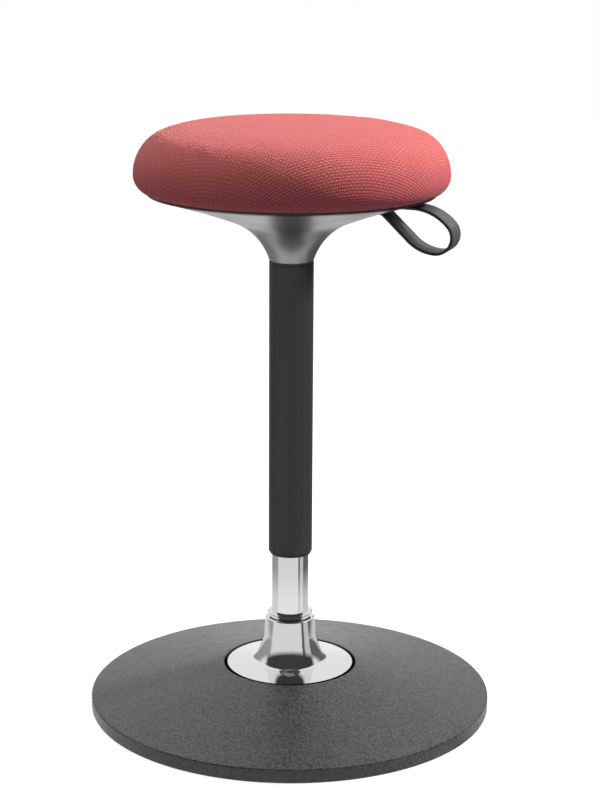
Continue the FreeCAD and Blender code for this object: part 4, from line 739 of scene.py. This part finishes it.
def studio_bands(tree, across, along):
    """What chrome mirrors round the stool: pale walls and darker panels, by direction from it."""
    turn = maths(tree, "ARCTAN2", across, maths(tree, "MULTIPLY", along, -1.0))
    bands = add(tree, "ValToRGB", {0: ramp(tree, turn, -math.pi, math.pi)})
    stops = bands.color_ramp
    while len(stops.elements) < len(PANELS):
        stops.elements.new(0.5)
    for element, (angle, level) in zip(stops.elements, PANELS):
        element.position = (angle + 180) / 360
        element.color = (level, level, level, 1)
    return bands.outputs[0]


def make_world():
    """White studio: white where it is seen, panels where it is mirrored, softer light from below."""
    world = bpy.data.worlds.new("studio")
    scene.world = world
    world.use_nodes = True
    tree = world.node_tree
    tree.nodes.clear()
    ray = add(tree, "LightPath")
    direction = add(tree, "SeparateXYZ", {0: add(tree, "TexCoord").outputs["Generated"]}).outputs
    bands = studio_bands(tree, direction[0], direction[1])
    raised = ramp(tree, direction[2], 0.15, 0.3)
    front = ramp(tree, direction[1], -0.1, 0.1, 1.0, 0.0)
    ceiling = mixed(tree, front, (0.9, 0.9, 0.9, 1), (0.05, 0.05, 0.05, 1))
    mirrored = mixed(tree, raised, bands, ceiling)
    ambient = ramp(tree, direction[2], -0.2, 1.0, AMBIENT_LOW, AMBIENT_HIGH)
    light = mixed(tree, ray.outputs["Is Glossy Ray"], ambient, mirrored)
    seen = maths(tree, "MAXIMUM", ray.outputs["Is Camera Ray"], ray.outputs["Is Transmission Ray"])
    background = add(tree, "Background", {0: mixed(tree, seen, light, (1, 1, 1, 1)), 1: 1.0})
    add(tree, "OutputWorld", {0: background.outputs[0]})


def make_floor():
    """Pale floor: white to the camera, with a light shadow, and the panels' light in reflections."""
    material = bpy.data.materials.new("studio_floor")
    material.use_nodes = True
    tree = material.node_tree
    tree.nodes.clear()
    ray = add(tree, "LightPath")
    lit = add(tree, "BsdfDiffuse", {0: (FLOOR_BOUNCE, FLOOR_BOUNCE, FLOOR_BOUNCE, 1)})
    faint = add(tree, "BsdfDiffuse", {0: (0.3, 0.3, 0.3, 1)})
    white = add(tree, "Emission", {0: (1, 1, 1, 1), 1: 0.88})
    both = add(tree, "AddShader", {0: faint.outputs[0], 1: white.outputs[0]})
    place = add(tree, "SeparateXYZ", {0: place_of(tree)}).outputs
    out = maths(tree, "SQRT", maths(tree, "ADD", maths(tree, "MULTIPLY", place[0], place[0]),
                                    maths(tree, "MULTIPLY", place[1], place[1])))
    near = ramp(tree, out, NEAR_FLOOR[0], NEAR_FLOOR[1], NEAR_WHITE, 0.0)
    bands = studio_bands(tree, place[0], place[1])
    mirrored = add(tree, "Emission", {0: mixed(tree, near, bands, (1, 1, 1, 1)), 1: 1.0})
    seen = maths(tree, "MAXIMUM", ray.outputs["Is Camera Ray"], ray.outputs["Is Transmission Ray"])
    mix = add(tree, "MixShader", {0: seen, 1: lit.outputs[0], 2: both.outputs[0]})
    glossy = add(tree, "MixShader", {0: ray.outputs["Is Glossy Ray"], 1: mix.outputs[0],
                                     2: mirrored.outputs[0]})
    add(tree, "OutputMaterial", {0: glossy.outputs[0]})
    mesh = bpy.data.meshes.new("studio_floor")
    corners = [(FLOOR_SIZE * across, FLOOR_SIZE * along, 0)
               for across, along in ((-1, -1), (1, -1), (1, 1), (-1, 1))]
    mesh.from_pydata(corners, [], [(0, 1, 2, 3)])
    mesh.materials.append(material)
    floor = bpy.data.objects.new("studio_floor", mesh)
    scene.collection.objects.link(floor)


def make_lamp(name, place, target, size, power):
    """A square soft light that looks at a point. Chrome mirrors the panels instead of it."""
    light = bpy.data.lights.new(name, "AREA")
    light.shape = "SQUARE"
    light.size = size
    light.energy = power
    lamp = bpy.data.objects.new(name, light)
    lamp.location = place
    lamp.visible_glossy = False
    lamp.rotation_mode = "QUATERNION"
    lamp.rotation_quaternion = (Vector(target) - Vector(place)).to_track_quat("-Z", "Y")
    scene.collection.objects.link(lamp)


def make_camera():
    """The photograph's view: a long lens, a little above the seat, almost level."""
    data = bpy.data.cameras.new("view")
    data.sensor_fit = "VERTICAL"
    data.sensor_height = SENSOR
    data.lens = FOCAL_PIXELS * SENSOR / PICTURE_HEIGHT
    data.shift_x = CENTRE_SHIFT / PICTURE_HEIGHT
    data.clip_end = 200
    camera = bpy.data.objects.new("view", data)
    camera.location = (0, -CAMERA_DISTANCE, CAMERA_HEIGHT)
    look = Matrix.Rotation(math.radians(90 - CAMERA_PITCH), 4, "X")
    camera.rotation_euler = (look @ Matrix.Rotation(CAMERA_ROLL, 4, "Z")).to_euler()
    scene.collection.objects.link(camera)
    scene.camera = camera


scene.view_settings.view_transform = "Standard"
make_camera()
dress_nodes()
fabric = fabric_finish()
nodes["hem_cord"].data.materials.clear()
nodes["hem_cord"].data.materials.append(fabric)
make_cushion(fabric)
make_hem(fabric)
make_strap(strap_finish())
make_world()
make_floor()
make_lamp("key_light", (2.3, 0.3, 2.2), (0, 0, 0.4), 0.35, 112)
make_lamp("overhead_light", (0.0, 0.5, 3.0), (0, 0, 0.4), 2.0, 30)
make_lamp("fill_light", (-2.6, -0.4, 0.7), (0, 0, 0.5), 0.9, 8)
